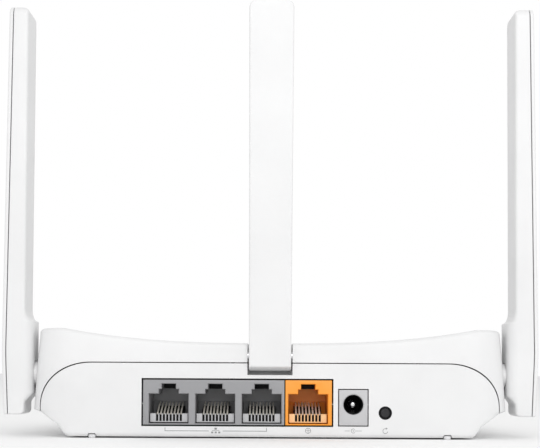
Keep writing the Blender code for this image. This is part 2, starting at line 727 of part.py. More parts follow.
def build_indicator():
    y = FRONT_Y - LED_FRONT_INSET
    box("status_led", (-LED_SIZE / 2, y - LED_SIZE / 4, PART_BASE),
        (LED_SIZE / 2, y + LED_SIZE / 4, PART_BASE + LED_SIZE / 2), PLASTIC_CLEAR, chamfer=LED_SIZE / 16)
    bottom = PART_BASE + LED_SIZE / 2 + GAP
    top = top_height(0.0, y) - LIGHT_PIPE_RECESS
    turned("light_pipe", (
        (0.0, top),
        (LIGHT_PIPE_RADIUS - LIGHT_PIPE_EDGE, top),
        (LIGHT_PIPE_RADIUS, top - LIGHT_PIPE_EDGE),
        (LIGHT_PIPE_RADIUS, bottom),
        (0.0, bottom),
    ), (0.0, y, 0.0), PLASTIC_CLEAR, steps=16)


def socket_cutter(name, x):
    """Stepped mouth of one socket: body, keying step and latch slot."""
    steps = (
        (SOCKET_WIDTH, SOCKET_HEIGHT),
        (STEP_WIDTH, STEP_HEIGHT),
        (LATCH_WIDTH, LATCH_HEIGHT),
    )
    right = []
    z = SOCKET_BOTTOM
    for width, height in steps:
        right.append((x + width / 2, z))
        z += height
        right.append((x + width / 2, z))
    left = [(2 * x - u, v) for u, v in reversed(right)]
    return flat_outline(name, right + left, REAR_Y - CUT_PAST, REAR_Y + SOCKET_DEPTH, 'XZ')


def jack_block(name, low_x, high_x, centers, material):
    block = box(name, (low_x, REAR_Y, SOCKET_BLOCK_BOTTOM),
                (high_x, REAR_Y + SOCKET_BLOCK_DEPTH, BLOCK_TOP), material)
    for index, x in enumerate(centers):
        cut(block, socket_cutter(f"{name}_mouth_{index}", x))
    return block


def contact_insert(name, x):
    """Comb with its eight sprung wires, which rise from it towards the back of the socket."""
    half = SOCKET_WIDTH / 2 - GAP
    low = SOCKET_BOTTOM + GAP
    front = REAR_Y + COMB_INSET
    back = REAR_Y + SOCKET_DEPTH - GAP
    plate = CONTACT_WIDTH
    insert = flat_outline(name, (
        (front, low), (back, low), (back, low + CONTACT_RISE), (back - plate * 2, low + CONTACT_RISE),
        (back - plate * 2, low + plate), (front + COMB_DEPTH, low + plate),
        (front + COMB_DEPTH, low + COMB_HEIGHT), (front, low + COMB_HEIGHT),
    ), x - half, x + half, 'YZ', GOLD)
    for index in range(CONTACT_COUNT):
        middle = x + CONTACT_PITCH * (index - (CONTACT_COUNT - 1) / 2)
        start = low + COMB_HEIGHT - plate
        end = low + CONTACT_RISE - plate * 1.5
        join(insert, flat_outline(f"{name}_wire_{index}", (
            (front + plate, start), (back - plate, end), (back - plate, end + plate),
            (front + plate, start + plate * 1.4),
        ), middle - CONTACT_WIDTH / 2, middle + CONTACT_WIDTH / 2, 'YZ'))
    return insert


def build_sockets():
    jack_block("lan_jack_block", BLOCK_START_X, BLOCK_SPLIT_X - GAP / 2, SOCKET_X[:LAN_COUNT], PLASTIC_GREY)
    jack_block("wan_jack", BLOCK_SPLIT_X + GAP / 2, BLOCK_END_X, SOCKET_X[LAN_COUNT:], PLASTIC_ORANGE)
    for index in range(LAN_COUNT):
        contact_insert(f"lan_contact_insert_{index + 1}", SOCKET_X[index])
    contact_insert("wan_contact_insert", SOCKET_X[LAN_COUNT])


def build_power_jack():
    leaf_top = POWER_HOLE_HEIGHT - POWER_HOLE_RADIUS
    housing = box("dc_jack_housing", (POWER_X - POWER_WIDTH / 2, REAR_Y, SOCKET_BLOCK_BOTTOM),
                  (POWER_X + POWER_WIDTH / 2, REAR_Y + POWER_DEPTH, SOCKET_BLOCK_BOTTOM + POWER_HEIGHT),
                  PLASTIC_PALE)
    cut(housing, cylinder("power_hole", (POWER_X, REAR_Y - CUT_PAST, POWER_HOLE_HEIGHT),
                          POWER_HOLE_DEPTH + CUT_PAST, POWER_HOLE_RADIUS, 'Y'))
    half = POWER_LEAF_WIDTH / 2
    cut(housing, box("leaf_slot", (POWER_X - half - GAP, REAR_Y + POWER_PIN_START - GAP,
                                   leaf_top - POWER_LEAF_THICKNESS - GAP),
                     (POWER_X + half + GAP, REAR_Y + POWER_HOLE_DEPTH, POWER_HOLE_HEIGHT)))
    box("dc_jack_leaf_contact", (POWER_X - half, REAR_Y + POWER_PIN_START, leaf_top - POWER_LEAF_THICKNESS),
        (POWER_X + half, REAR_Y + POWER_HOLE_DEPTH - GAP, leaf_top), STEEL)
    tip = POWER_PIN_RADIUS * 0.5
    length = POWER_HOLE_DEPTH - POWER_PIN_START - GAP
    pin = turned("dc_jack_pin", (
        (0.0, length),
        (POWER_PIN_RADIUS - tip, length),
        (POWER_PIN_RADIUS, length - tip),
        (POWER_PIN_RADIUS, 0.0),
        (0.0, 0.0),
    ), (POWER_X, REAR_Y + POWER_HOLE_DEPTH - GAP, POWER_HOLE_HEIGHT), STEEL, steps=16)
    pin.rotation_euler = (math.pi / 2, 0.0, 0.0)


def build_reset_switch():
    start = REAR_Y + RESET_BODY_START
    half = RESET_BODY_SIZE / 2
    body = box("reset_switch_body", (RESET_X - half, start, PART_BASE),
               (RESET_X + half, start + RESET_BODY_DEPTH, RESET_HEIGHT + half), CHIP_BLACK, chamfer=0.0003)
    plunger_end = RESET_BODY_START + RESET_BODY_DEPTH / 2
    cut(body, cylinder("plunger_way", (RESET_X, start - CUT_PAST, RESET_HEIGHT),
                       CUT_PAST + RESET_BODY_DEPTH / 2 + RESET_TRAVEL + GAP, RESET_BUTTON_RADIUS + GAP, 'Y'))
    pivot = add_pivot("reset_button_axis", (RESET_X, REAR_Y, RESET_HEIGHT))
    cylinder("reset_button", (0.0, RESET_RECESS, 0.0), plunger_end - RESET_RECESS, RESET_BUTTON_RADIUS, 'Y',
             BUTTON_DARK, pivot)


# ---------------------------------------------------------------- antennas

def blade_face(low, high):
    """Front view of a blade: slightly wider at the top, with rounded upper corners."""
    bottom = ANTENNA_WIDTH / 2
    top = ANTENNA_TOP_WIDTH / 2
    corner = ANTENNA_CORNER
    right = [(bottom, low)]
    right += arc((top - corner, high - corner), corner, 0, 90, 5)
    left = [(-u, v) for u, v in reversed(right)]
    return right + left


def side_face():
    """Outer face of a side antenna in rear view, from the bottom up."""
    return [(SIDE_BLADE_OUTER - SIDE_BLADE_DRAW, SIDE_BLADE_BOTTOM), (SIDE_BLADE_OUTER, SIDE_BLADE_KNEE),
            (SIDE_BLADE_OUTER - ANTENNA_TAPER, SIDE_BLADE_TOP)]


def side_profile():
    """Rear view of a side antenna: thin blade, hub thickening and short lower stub."""
    inner = SIDE_BLADE_INNER
    points = [(inner + STUB_EDGE, SIDE_BLADE_BOTTOM)] + side_face()
    points += arc((inner + BLADE_EDGE, SIDE_BLADE_TOP - BLADE_EDGE), BLADE_EDGE, 90, 180, 4)
    for i in range(5):
        fall = 1 - math.sin(math.radians(90 * i / 4))
        points.append((inner * fall, HUB_TOP + HUB_FLARE * fall ** 1.6))
    points += [(0.0, HUB_BOTTOM + HUB_EDGE), (HUB_EDGE / 2, HUB_BOTTOM)]
    points += [(inner * 0.6, HUB_BOTTOM - HUB_EDGE), (inner, HUB_BOTTOM - HUB_RETURN)]
    points += [(inner, SIDE_BLADE_BOTTOM + STUB_EDGE),
               (inner + STUB_EDGE / 3, SIDE_BLADE_BOTTOM + STUB_EDGE / 3)]
    return points


def rear_face():
    """Outer face of the rear antenna in side view, from the bottom up."""
    radius = REAR_BARREL_RADIUS
    return [(radius, -radius), (radius, 0.0), (radius - ANTENNA_TAPER, REAR_BLADE_TOP)]


def rear_profile():
    """Side view of the rear antenna: a barrel with a square heel round the pivot, and the blade."""
    radius = REAR_BARREL_RADIUS
    inner = REAR_BLADE_INNER
    edge = REAR_BLADE_EDGE
    points = arc((0.0, 0.0), radius, 180, 270, 5)
    points += arc((radius - REAR_HEEL_EDGE, -REAR_HEEL_DROP), REAR_HEEL_EDGE, 300, 360, 3)
    points += [rear_face()[-1], (inner + edge / 2, REAR_BLADE_TOP), (inner, REAR_BLADE_TOP - edge)]
    points += [(inner, radius * 1.3), (inner - edge / 2, radius * 0.8), (-radius * 0.97, radius * 0.25)]
    return points


def lid_region(name, face, offset, pivot):
    """Everything outside the parting surface, which lies at the offset inside the outer face."""
    past = 0.01
    line = [(u - offset, v) for u, v in face]
    low = face[0][1] - past
    high = face[-1][1] + past
    far = max(u for u, _ in face) + past
    points = [(line[0][0], low)] + line + [(line[-1][0], high), (far, high), (far, low)]
    return flat_outline(name, points, -past, past, 'XZ', parent=pivot)


def antenna_shells(label, profile, face, cavity_inner, cavity_low, pivot):
    """Inner shell with a channel for the leads, and the outer shell that closes it."""
    low = min(v for _, v in profile)
    high = face[-1][1]
    reach = ANTENNA_TOP_WIDTH
    shells = []
    for name in (f"{label}_inner_shell", f"{label}_outer_shell"):
        thing = flat_outline(name, profile, -reach, reach, 'XZ', PLASTIC_WHITE, pivot)
        keep(thing, flat_outline(name + "_face", blade_face(low - CUT_PAST, high), -reach * 2, reach * 2,
                                 'YZ', parent=pivot))
        shells.append(thing)
    body, lid = shells
    keep(lid, lid_region(f"{label}_lid_side", face, ANTENNA_LID, pivot))
    cut(body, lid_region(f"{label}_body_side", face, ANTENNA_LID + GAP, pivot))
    side = ANTENNA_WIDTH / 2 - ANTENNA_WALL
    cut(body, box(f"{label}_channel", (cavity_inner, -side, cavity_low),
                  (reach, side, high - ANTENNA_WALL * 2), parent=pivot))
    return body


def radiator(label, inner, high, pivot):
    top = high - RADIATOR_TOP_INSET
    box(f"{label}_radiator", (inner + GAP, -RADIATOR_WIDTH / 2, top - RADIATOR_LENGTH),
        (inner + GAP + RADIATOR_THICKNESS, RADIATOR_WIDTH / 2, top), COPPER, pivot)
    return top - RADIATOR_LENGTH


def build_side_antenna(label, turn, x):
    pivot = add_pivot(f"{label}_pivot_axis", (x, SIDE_PIVOT_Y, SIDE_PIVOT_HEIGHT), turn)
    inner = SIDE_BLADE_INNER + ANTENNA_WALL
    body = antenna_shells(label, side_profile(), side_face(), inner, SIDE_BLADE_BOTTOM + ANTENNA_WALL, pivot)
    cut(body, cylinder(f"{label}_hub_bore", (-CUT_PAST, 0.0, 0.0), CUT_PAST + inner + ANTENNA_WALL * 2,
                       SIDE_TUBE_RADIUS + GAP, 'X', parent=pivot))
    tube_length = SIDE_TUBE_OUTER - SIDE_TUBE_INNER
    tube = cylinder(f"{label}_pivot_tube", (SIDE_TUBE_INNER, 0.0, 0.0), tube_length, SIDE_TUBE_RADIUS, 'X',
                    PLASTIC_WHITE, pivot)
    cut(tube, cylinder(f"{label}_tube_bore", (SIDE_TUBE_INNER - CUT_PAST, 0.0, 0.0),
                       tube_length + 2 * CUT_PAST, SIDE_TUBE_BORE, 'X', parent=pivot, sides=16))
    clip = cylinder(f"{label}_retaining_clip", (SIDE_TUBE_INNER + GAP * 3, 0.0, 0.0), CLIP_THICKNESS,
                    CLIP_RADIUS, 'X', STEEL, pivot)
    cut(clip, cylinder(f"{label}_clip_bore", (SIDE_TUBE_INNER - CUT_PAST, 0.0, 0.0), CUT_PAST * 3,
                       SIDE_TUBE_RADIUS + GAP, 'X', parent=pivot))
    end = radiator(label, inner, SIDE_BLADE_TOP, pivot)
    middle = inner + GAP + COAX_RADIUS
    wire(f"{label}_coax", (
        (middle, 0.0, end - GAP), (middle, 0.0, end * 0.6), (middle, 0.0, end * 0.25),
        (middle + 0.0006, 0.0, 0.006),
        (middle + 0.0001, 0.0, 0.0022), (middle - 0.0012, 0.0, 0.0004), (0.001, 0.0, 0.0),
        (SIDE_TUBE_INNER + GAP, 0.0, 0.0),
    ), COAX_RADIUS, CABLE_GREY, pivot)


def build_rear_antenna():
    label = "rear_antenna"
    pivot = add_pivot("rear_antenna_pivot_axis", (0.0, REAR_PIVOT_Y, REAR_PIVOT_HEIGHT), -math.pi / 2)
    inner = REAR_BLADE_INNER + ANTENNA_WALL
    body = antenna_shells(label, rear_profile(), rear_face(), inner, -REAR_TUBE_RADIUS * 2, pivot)
    half = ANTENNA_WIDTH / 2
    bore = cylinder("rear_barrel_bore", (0.0, -half - CUT_PAST, 0.0), 2 * half + 2 * CUT_PAST,
                    REAR_TUBE_RADIUS + GAP, 'Y', parent=pivot)
    cut(body, bore)
    tube_end = POCKET_HALF_WIDTH + CHEEK - GAP
    root = half - ANTENNA_WALL * 1.5
    tube = cylinder(f"{label}_hinge_tube", (0.0, root, 0.0), tube_end - root, REAR_TUBE_RADIUS, 'Y', STEEL,
                    pivot)
    cut(tube, cylinder("rear_tube_bore", (0.0, 0.0, 0.0), tube_end + CUT_PAST, REAR_TUBE_BORE, 'Y',
                       parent=pivot, sides=16))
    cylinder(f"{label}_hinge_pin", (0.0, -tube_end, 0.0), tube_end - root, REAR_TUBE_RADIUS, 'Y', STEEL,
             pivot)
    end = radiator(label, inner, REAR_BLADE_TOP, pivot)
    middle = inner + GAP + REAR_COAX_RADIUS
    wire(f"{label}_coax", (
        (middle, 0.0, end - GAP), (middle, 0.0, end * 0.6), (middle, 0.0, end * 0.25), (middle, 0.0, 0.005),
        (middle + 0.0004, 0.0005, 0.0018), (0.0, 0.0022, 0.0002), (0.0, 0.0042, 0.0), (0.0, tube_end, 0.0),
    ), REAR_COAX_RADIUS, CABLE_GREY, pivot)


def build_board_leads():
    """Leads from the pivots down to the board."""
    start_x = HUB_FACE_X + SIDE_TUBE_INNER
    ends = PART_BASE + COAX_RADIUS
    for label, side in (("left", -1), ("right", 1)):
        path = (
            (start_x, 0.0096, SIDE_PIVOT_HEIGHT), (start_x - 0.003, 0.0100, SIDE_PIVOT_HEIGHT - 0.0005),
            (start_x - 0.0055, 0.0170, 0.0135), (start_x - 0.008, 0.0280, 0.0075),
            (start_x - 0.014, 0.0370, ends + 0.0004), (start_x - 0.018, 0.0390, ends),
        )
        wire(f"{label}_antenna_board_lead", [(side * x, REAR_Y + y, z) for x, y, z in path], COAX_RADIUS,
             CABLE_GREY)
    rear_start = -(POCKET_HALF_WIDTH + CHEEK)
    path = (
        (rear_start, REAR_PIVOT_FORWARD, REAR_PIVOT_HEIGHT),
        (rear_start - 0.0016, REAR_PIVOT_FORWARD + 0.0012, REAR_PIVOT_HEIGHT - 0.0003),
        (rear_start - 0.0026, 0.0080, REAR_PIVOT_HEIGHT - 0.0020),
        (rear_start - 0.0030, 0.0190, 0.0200), (rear_start - 0.0030, 0.0300, 0.0120),
        (rear_start + 0.0060, 0.0520, ends + 0.0006), (rear_start + 0.0080, 0.0560, ends),
    )
    wire("rear_antenna_board_lead", [(x, REAR_Y + y, z) for x, y, z in path], REAR_COAX_RADIUS, CABLE_GREY)


# ---------------------------------------------------------------- assembly

clear_scene()
PIECES = make_collection(COLLECTION_NAME)
CUTTERS = make_collection("cutters")
PLASTIC_WHITE = make_material("white_plastic", (0.87, 0.88, 0.88), 0.42)
PLASTIC_GREY = make_material("grey_plastic", (0.30, 0.31, 0.33), 0.5)
PLASTIC_ORANGE = make_material("orange_plastic", (0.86, 0.36, 0.06), 0.45)
PLASTIC_PALE = make_material("pale_grey_plastic", (0.56, 0.56, 0.58), 0.5)
PLASTIC_CLEAR = make_material("clear_plastic", (0.8, 0.85, 0.9), 0.2)
BUTTON_DARK = make_material("dark_plastic", (0.05, 0.05, 0.055), 0.45)
RUBBER_GREY = make_material("grey_rubber", (0.5, 0.5, 0.5), 0.8)
BOARD_GREEN = make_material("board_laminate", (0.03, 0.16, 0.08), 0.45)
CHIP_BLACK = make_material("chip_resin", (0.03, 0.03, 0.03), 0.5)
FERRITE = make_material("ferrite", (0.09, 0.09, 0.1), 0.7)
STEEL = make_material("bright_steel", (0.66, 0.66, 0.66), 0.3, 1.0)
COPPER = make_material("copper_foil", (0.75, 0.45, 0.3), 0.35, 1.0)
GOLD = make_material("gold_contacts", (0.80, 0.62, 0.28), 0.3, 1.0)
CABLE_GREY = make_material("cable_jacket", (0.2, 0.2, 0.21), 0.5)

build_housing()
build_feet_and_screws()
build_board()
build_indicator()
build_sockets()
build_power_jack()
build_reset_switch()
build_side_antenna("right_antenna", 0.0, HUB_FACE_X)
build_side_antenna("left_antenna", math.pi, -HUB_FACE_X)
build_rear_antenna()
build_board_leads()
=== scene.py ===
"""Looks of the desktop wireless router: fine shells, antennas, sockets and printed signs.

Left and right are as seen from behind, looking along +Y, so left is -X. Metres.
"""
import json
import math

import bmesh
import bpy
from mathutils import Matrix, Vector


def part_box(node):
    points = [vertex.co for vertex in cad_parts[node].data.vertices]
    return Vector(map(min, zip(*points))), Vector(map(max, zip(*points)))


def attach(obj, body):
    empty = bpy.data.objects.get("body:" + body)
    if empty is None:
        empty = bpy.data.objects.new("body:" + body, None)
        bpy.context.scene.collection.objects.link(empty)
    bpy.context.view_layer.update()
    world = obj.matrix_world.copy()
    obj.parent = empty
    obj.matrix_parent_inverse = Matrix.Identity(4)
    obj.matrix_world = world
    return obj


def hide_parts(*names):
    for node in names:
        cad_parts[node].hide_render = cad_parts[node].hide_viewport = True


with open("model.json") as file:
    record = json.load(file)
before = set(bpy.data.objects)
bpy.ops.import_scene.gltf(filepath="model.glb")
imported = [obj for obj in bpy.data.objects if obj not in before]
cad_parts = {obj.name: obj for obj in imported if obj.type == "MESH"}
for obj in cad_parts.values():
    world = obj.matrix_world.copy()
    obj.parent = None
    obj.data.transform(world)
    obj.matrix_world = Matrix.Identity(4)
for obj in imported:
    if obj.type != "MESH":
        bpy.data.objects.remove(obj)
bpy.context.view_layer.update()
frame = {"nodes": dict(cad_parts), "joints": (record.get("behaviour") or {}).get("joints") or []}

MM = 0.001

# Places read from the frame
SOCKETS = [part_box(f"lan_contact_insert_{i}") for i in (1, 2, 3)] + [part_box("wan_contact_insert")]
SOCKET_X = [(low.x + high.x) / 2 for low, high in SOCKETS]
LAN_LOW, LAN_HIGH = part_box("lan_jack_block")
WAN_LOW, WAN_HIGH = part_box("wan_jack")
POWER_LOW, POWER_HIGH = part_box("dc_jack_housing")
PIN_LOW, PIN_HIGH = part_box("dc_jack_pin")
BUTTON_LOW, BUTTON_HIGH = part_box("reset_button")
PIVOT = {joint["child"]: Vector(joint.get("pos_m", (0, 0, 0))) for joint in frame["joints"]}
COVER_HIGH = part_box("top_cover")[1]
REAR_Y = LAN_LOW.y
FRONT_Y = COVER_HIGH.y
HALF_WIDTH = COVER_HIGH.x
DEPTH = FRONT_Y - REAR_Y

# Housing form
WALL = 1.8 * MM
GAP = 0.3 * MM
PANEL_GAP = 0.45 * MM
CUT_PAST = 2 * MM
REAR_TOP = 28.7 * MM
SIDE_RISE = 4.4 * MM
SIDE_RISE_AT = 65 * MM
FRONT_TOP = 18 * MM
WIDEST = 8.4 * MM
SIDE_LEAN = 0.064
REAR_LEAN = 0.12
TOP_EDGE = 1.2 * MM
REAR_CORNER_SPAN = 11.1 * MM
REAR_CORNER_DEPTH = 6 * MM
CORNER_NARROWING = 0.85
FRONT_CORNER = 24 * MM
UNDERSIDE = 0.5 * MM
RISE_POWER = 2.7
FALL_POWER = 1.6
LIFT_SHARE = 0.6
LEAST_EDGE = 0.6 * MM
# Height, then inset of the sides, the rear and the front
LOWER_SECTIONS = (
    (0.5 * MM, 10.8 * MM, 0.8 * MM, 9.8 * MM),
    (1.3 * MM, 9.9 * MM, 0.0, 9.0 * MM),
    (4.0 * MM, 8.0 * MM, 0.0, 7.0 * MM),
    (7.5 * MM, 2.8 * MM, 0.0, 2.4 * MM),
    (WIDEST, 0.0, 0.0, 0.0),
)
REAR_SEAM = 22.6 * MM
SIDE_SEAM = 7.5 * MM
ARCH_WIDTH = 15.5 * MM
ARCH_HEIGHT = 13 * MM
SEAM_END_INSET = 2.6 * MM
SEAM_WRAP = 5.2 * MM
RESET_HOLE_RADIUS = 2.03 * MM
SCREW_HEAD_RADIUS = 2.7 * MM
SCREW_HEAD_DEPTH = 1.7 * MM
SCREW_WAY_RADIUS = 1.6 * MM
SCREW_WAY_DEPTH = 5 * MM
BOSS_RADIUS = 3.2 * MM
BOSS_START = 4.3 * MM
BEARING_RADIUS = 5.7 * MM
BEARING_DEPTH = 6.8 * MM
SIDE_BORE_RADIUS = 4 * MM
PIN_BORE_RADIUS = 1.5 * MM
LIGHT_HOLE_RADIUS = 1.5 * MM
VENTS_EACH_SIDE = 9
VENT_PITCH = 4.2 * MM
VENT_WIDTH = 1.6 * MM
VENT_FORWARD = 28 * MM
VENT_LENGTH = 18 * MM
VENT_TOP = 2.8 * MM

# Antenna form
ANTENNA_WIDTH = 12.6 * MM
ANTENNA_TOP_WIDTH = 13.7 * MM
LID_DEPTH = 1.1 * MM
# Outer faces of the antennas in their own frames: distance out, height
SIDE_FACE = ((8.6 * MM, -12.4 * MM), (9.4 * MM, 6.0 * MM), (8.2 * MM, 112.7 * MM))
REAR_FACE = ((4.5 * MM, -4.5 * MM), (4.5 * MM, 0.0), (3.3 * MM, 108.4 * MM))
SIDE_BLADE_INNER = 2.4 * MM
SIDE_HUB = (-5.8 * MM, 16 * MM)
SIDE_STUB_FLARE = 3.2 * MM
SIDE_HUB_FLARE = 4 * MM
REAR_BLADE_INNER = -2.5 * MM
REAR_FLARE = 6 * MM
REAR_HEEL = -2.8 * MM
REAR_HEEL_EDGE = 0.8 * MM
SHELL_THICKNESS = 1.2 * MM
OUTER_EDGE = 0.7 * MM
TOP_CORNER = 3 * MM
LOWER_EDGE = 0.5 * MM
LOWER_ROUND = 1.2 * MM
SEAM_EDGE = 0.08 * MM
TUBE_RADIUS = 3.7 * MM
TUBE_BORE = 1.5 * MM
TUBE_CHAMFER = 0.2 * MM

# Pocket of the rear antenna
POCKET_HALF = ANTENNA_WIDTH / 2 + 0.5 * MM
CHEEK = 2 * MM
POCKET_RADIUS = 5.8 * MM
POCKET_WALL = 1.2 * MM


# ---------------- materials

NOISE_LOW = 0.3
NOISE_HIGH = 0.7


def start_material(name, color, roughness, metallic=0.0):
    material = bpy.data.materials.new(name)
    material.use_nodes = True
    shader = material.node_tree.nodes["Principled BSDF"]
    shader.inputs["Base Color"].default_value = (*color, 1.0)
    shader.inputs["Roughness"].default_value = roughness
    shader.inputs["Metallic"].default_value = metallic
    return material, material.node_tree, shader


def noise_node(tree, scale, detail=3.0, stretch=(1.0, 1.0, 1.0)):
    """Noise in the object's own metres. Scale is features per metre."""
    place = tree.nodes.new("ShaderNodeTexCoord")
    mapping = tree.nodes.new("ShaderNodeMapping")
    mapping.inputs["Scale"].default_value = stretch
    noise = tree.nodes.new("ShaderNodeTexNoise")
    noise.inputs["Scale"].default_value = scale
    noise.inputs["Detail"].default_value = detail
    tree.links.new(place.outputs["Object"], mapping.inputs["Vector"])
    tree.links.new(mapping.outputs["Vector"], noise.inputs["Vector"])
    return noise


def vary_color(tree, shader, source, dark, light):
    """Base colour from dark to light as the source goes from NOISE_LOW to NOISE_HIGH."""
    ramp = tree.nodes.new("ShaderNodeValToRGB")
    ramp.color_ramp.elements[0].position = NOISE_LOW
    ramp.color_ramp.elements[1].position = NOISE_HIGH
    ramp.color_ramp.elements[0].color = (*dark, 1.0)
    ramp.color_ramp.elements[1].color = (*light, 1.0)
    tree.links.new(source.outputs["Fac"], ramp.inputs["Fac"])
    tree.links.new(ramp.outputs["Color"], shader.inputs["Base Color"])


def vary_roughness(tree, shader, source, low, high):
    span = tree.nodes.new("ShaderNodeMapRange")
    span.inputs["From Min"].default_value = NOISE_LOW
    span.inputs["From Max"].default_value = NOISE_HIGH
    span.inputs["To Min"].default_value = low
    span.inputs["To Max"].default_value = high
    tree.links.new(source.outputs["Fac"], span.inputs["Value"])
    tree.links.new(span.outputs["Result"], shader.inputs["Roughness"])


def bump(tree, shader, source, strength, distance):
    node = tree.nodes.new("ShaderNodeBump")
    node.inputs["Strength"].default_value = strength
    node.inputs["Distance"].default_value = distance
    tree.links.new(source.outputs["Fac"], node.inputs["Height"])
    tree.links.new(node.outputs["Normal"], shader.inputs["Normal"])


def shade(color, factor):
    return tuple(min(1.0, channel * factor) for channel in color)


def moulded(name, color, roughness, grain=2600.0, relief=0.25, shine=0.5):
    """Injection-moulded plastic: spark-eroded grain, faint flow marks and uneven gloss."""
    material, tree, shader = start_material(name, color, roughness)
    shader.inputs["Specular IOR Level"].default_value = shine
    flow = noise_node(tree, 45.0, 4.0)
    vary_color(tree, shader, flow, shade(color, 0.97), shade(color, 1.03))
    vary_roughness(tree, shader, noise_node(tree, 180.0, 5.0), roughness - 0.05, roughness + 0.06)
    bump(tree, shader, noise_node(tree, grain, 2.0), relief, 0.00004)
    return material


def math_node(tree, operation, first, second, third=0.0):
    """Maths on a socket and a second socket or number. The third is what COMPARE lets them differ by."""
    node = tree.nodes.new("ShaderNodeMath")
    node.operation = operation
    tree.links.new(first, node.inputs[0])
    if isinstance(second, float):
        node.inputs[1].default_value = second
    else:
        tree.links.new(second, node.inputs[1])
    node.inputs[2].default_value = third
    return node.outputs["Value"]


def paint_shade_inside(material, low, high, color):
    """Painted shade: another colour inside a box given in the object's own metres."""
    tree = material.node_tree
    shader = tree.nodes["Principled BSDF"]
    plain = shader.inputs["Base Color"].links[0].from_socket
    place = tree.nodes.new("ShaderNodeTexCoord")
    parts = tree.nodes.new("ShaderNodeSeparateXYZ")
    tree.links.new(place.outputs["Object"], parts.inputs["Vector"])
    inside = None
    for axis, start, end in zip("XYZ", low, high):
        hit = math_node(tree, 'COMPARE', parts.outputs[axis], (start + end) / 2, (end - start) / 2)
        inside = hit if inside is None else math_node(tree, 'MULTIPLY', inside, hit)
    mix = tree.nodes.new("ShaderNodeMixRGB")
    mix.inputs["Color2"].default_value = (*color, 1.0)
    tree.links.new(inside, mix.inputs["Fac"])
    tree.links.new(plain, mix.inputs["Color1"])
    tree.links.new(mix.outputs["Color"], shader.inputs["Base Color"])


def metal(name, color, roughness, stretch=(1.0, 1.0, 1.0), metallic=1.0):
    """Plated or drawn metal with fine scratches along one direction and slight tarnish."""
    material, tree, shader = start_material(name, color, roughness, metallic)
    vary_color(tree, shader, noise_node(tree, 220.0, 4.0), shade(color, 0.86), shade(color, 1.06))
    scratches = noise_node(tree, 1600.0, 3.0, stretch)
    vary_roughness(tree, shader, scratches, roughness - 0.06, roughness + 0.1)
    bump(tree, shader, scratches, 0.2, 0.00002)
    return material


def laminate(name):
    """Solder mask over copper tracks."""
    material, tree, shader = start_material(name, (0.02, 0.12, 0.06), 0.35)
    place = tree.nodes.new("ShaderNodeTexCoord")
    bricks = tree.nodes.new("ShaderNodeTexBrick")
    bricks.inputs["Scale"].default_value = 160.0
    bricks.inputs["Mortar Size"].default_value = 0.03
    bricks.inputs["Color1"].default_value = (0.015, 0.10, 0.05, 1.0)
    bricks.inputs["Color2"].default_value = (0.02, 0.13, 0.065, 1.0)
    bricks.inputs["Mortar"].default_value = (0.05, 0.22, 0.11, 1.0)
    tree.links.new(place.outputs["Object"], bricks.inputs["Vector"])
    tree.links.new(bricks.outputs["Color"], shader.inputs["Base Color"])
    bump(tree, shader, noise_node(tree, 900.0, 2.0), 0.15, 0.00003)
    return material


def clear_plastic(name):
    material, tree, shader = start_material(name, (0.82, 0.88, 0.92), 0.12)
    shader.inputs["Transmission Weight"].default_value = 0.6
    shader.inputs["IOR"].default_value = 1.49
    vary_roughness(tree, shader, noise_node(tree, 300.0), 0.08, 0.18)
    bump(tree, shader, noise_node(tree, 700.0), 0.1, 0.00002)
    return material


WHITE_COLOR = (0.735, 0.736, 0.738)
WHITE = moulded("white_moulding", WHITE_COLOR, 0.45)
CASE_WHITE_PAINTED_SHADE = moulded("case_white_moulding_painted_shade", WHITE_COLOR, 0.45)
# Painted shade: the walls of the sockets' opening, which are in deep shade, are coloured near-black
paint_shade_inside(CASE_WHITE_PAINTED_SHADE, (LAN_LOW.x - MM, REAR_Y + 0.15 * MM, LAN_LOW.z - MM),
              (WAN_HIGH.x + MM, REAR_Y + 4 * MM, LAN_HIGH.z + MM), (0.03, 0.03, 0.03))
GREY = moulded("grey_socket_plastic", (0.29, 0.29, 0.30), 0.42, relief=0.2)
ORANGE = moulded("orange_socket_plastic", (0.88, 0.32, 0.03), 0.40, relief=0.2)
PALE = moulded("pale_grey_jack_plastic", (0.50, 0.50, 0.51), 0.42, relief=0.2)
GREY_COMB = moulded("grey_comb_plastic", (0.50, 0.50, 0.51), 0.42, relief=0.2)
CREAM_COMB = moulded("cream_comb_plastic", (0.87, 0.56, 0.28), 0.42, relief=0.2)
BLACK = moulded("black_plastic", (0.012, 0.012, 0.013), 0.7, shine=0.2)
BUTTON = moulded("dark_button_plastic", (0.022, 0.022, 0.024), 0.6, shine=0.3)
RUBBER = moulded("grey_rubber", (0.68, 0.68, 0.69), 0.75, grain=1800.0, relief=0.4)
CHIP = moulded("chip_resin", (0.02, 0.02, 0.022), 0.5, grain=3200.0, relief=0.3)
FERRITE = moulded("sintered_ferrite", (0.07, 0.07, 0.075), 0.7, grain=2200.0, relief=0.5)
CABLE = moulded("lead_jacket", (0.16, 0.16, 0.17), 0.5)
INK = moulded("grey_print", (0.27, 0.275, 0.28), 0.6, relief=0.1)
STEEL = metal("plated_steel", (0.68, 0.68, 0.69), 0.25)
SPRING = metal("sprung_contact", (0.84, 0.80, 0.72), 0.3, (1.0, 0.1, 1.0), 0.35)
COPPER = metal("copper_foil", (0.78, 0.46, 0.30), 0.32)
BOARD = laminate("board_laminate")
CLEAR = clear_plastic("clear_light_guide")


# ---------------- mesh helpers

def as_object(name, bm, material):
    bmesh.ops.recalc_face_normals(bm, faces=bm.faces)
    mesh = bpy.data.meshes.new(name)
    bm.to_mesh(mesh)
    bm.free()
    thing = bpy.data.objects.new(name, mesh)
    bpy.context.scene.collection.objects.link(thing)
    mesh.materials.append(material)
    mesh.shade_smooth()
    mesh.set_sharp_from_angle(angle=math.radians(35))
    return thing


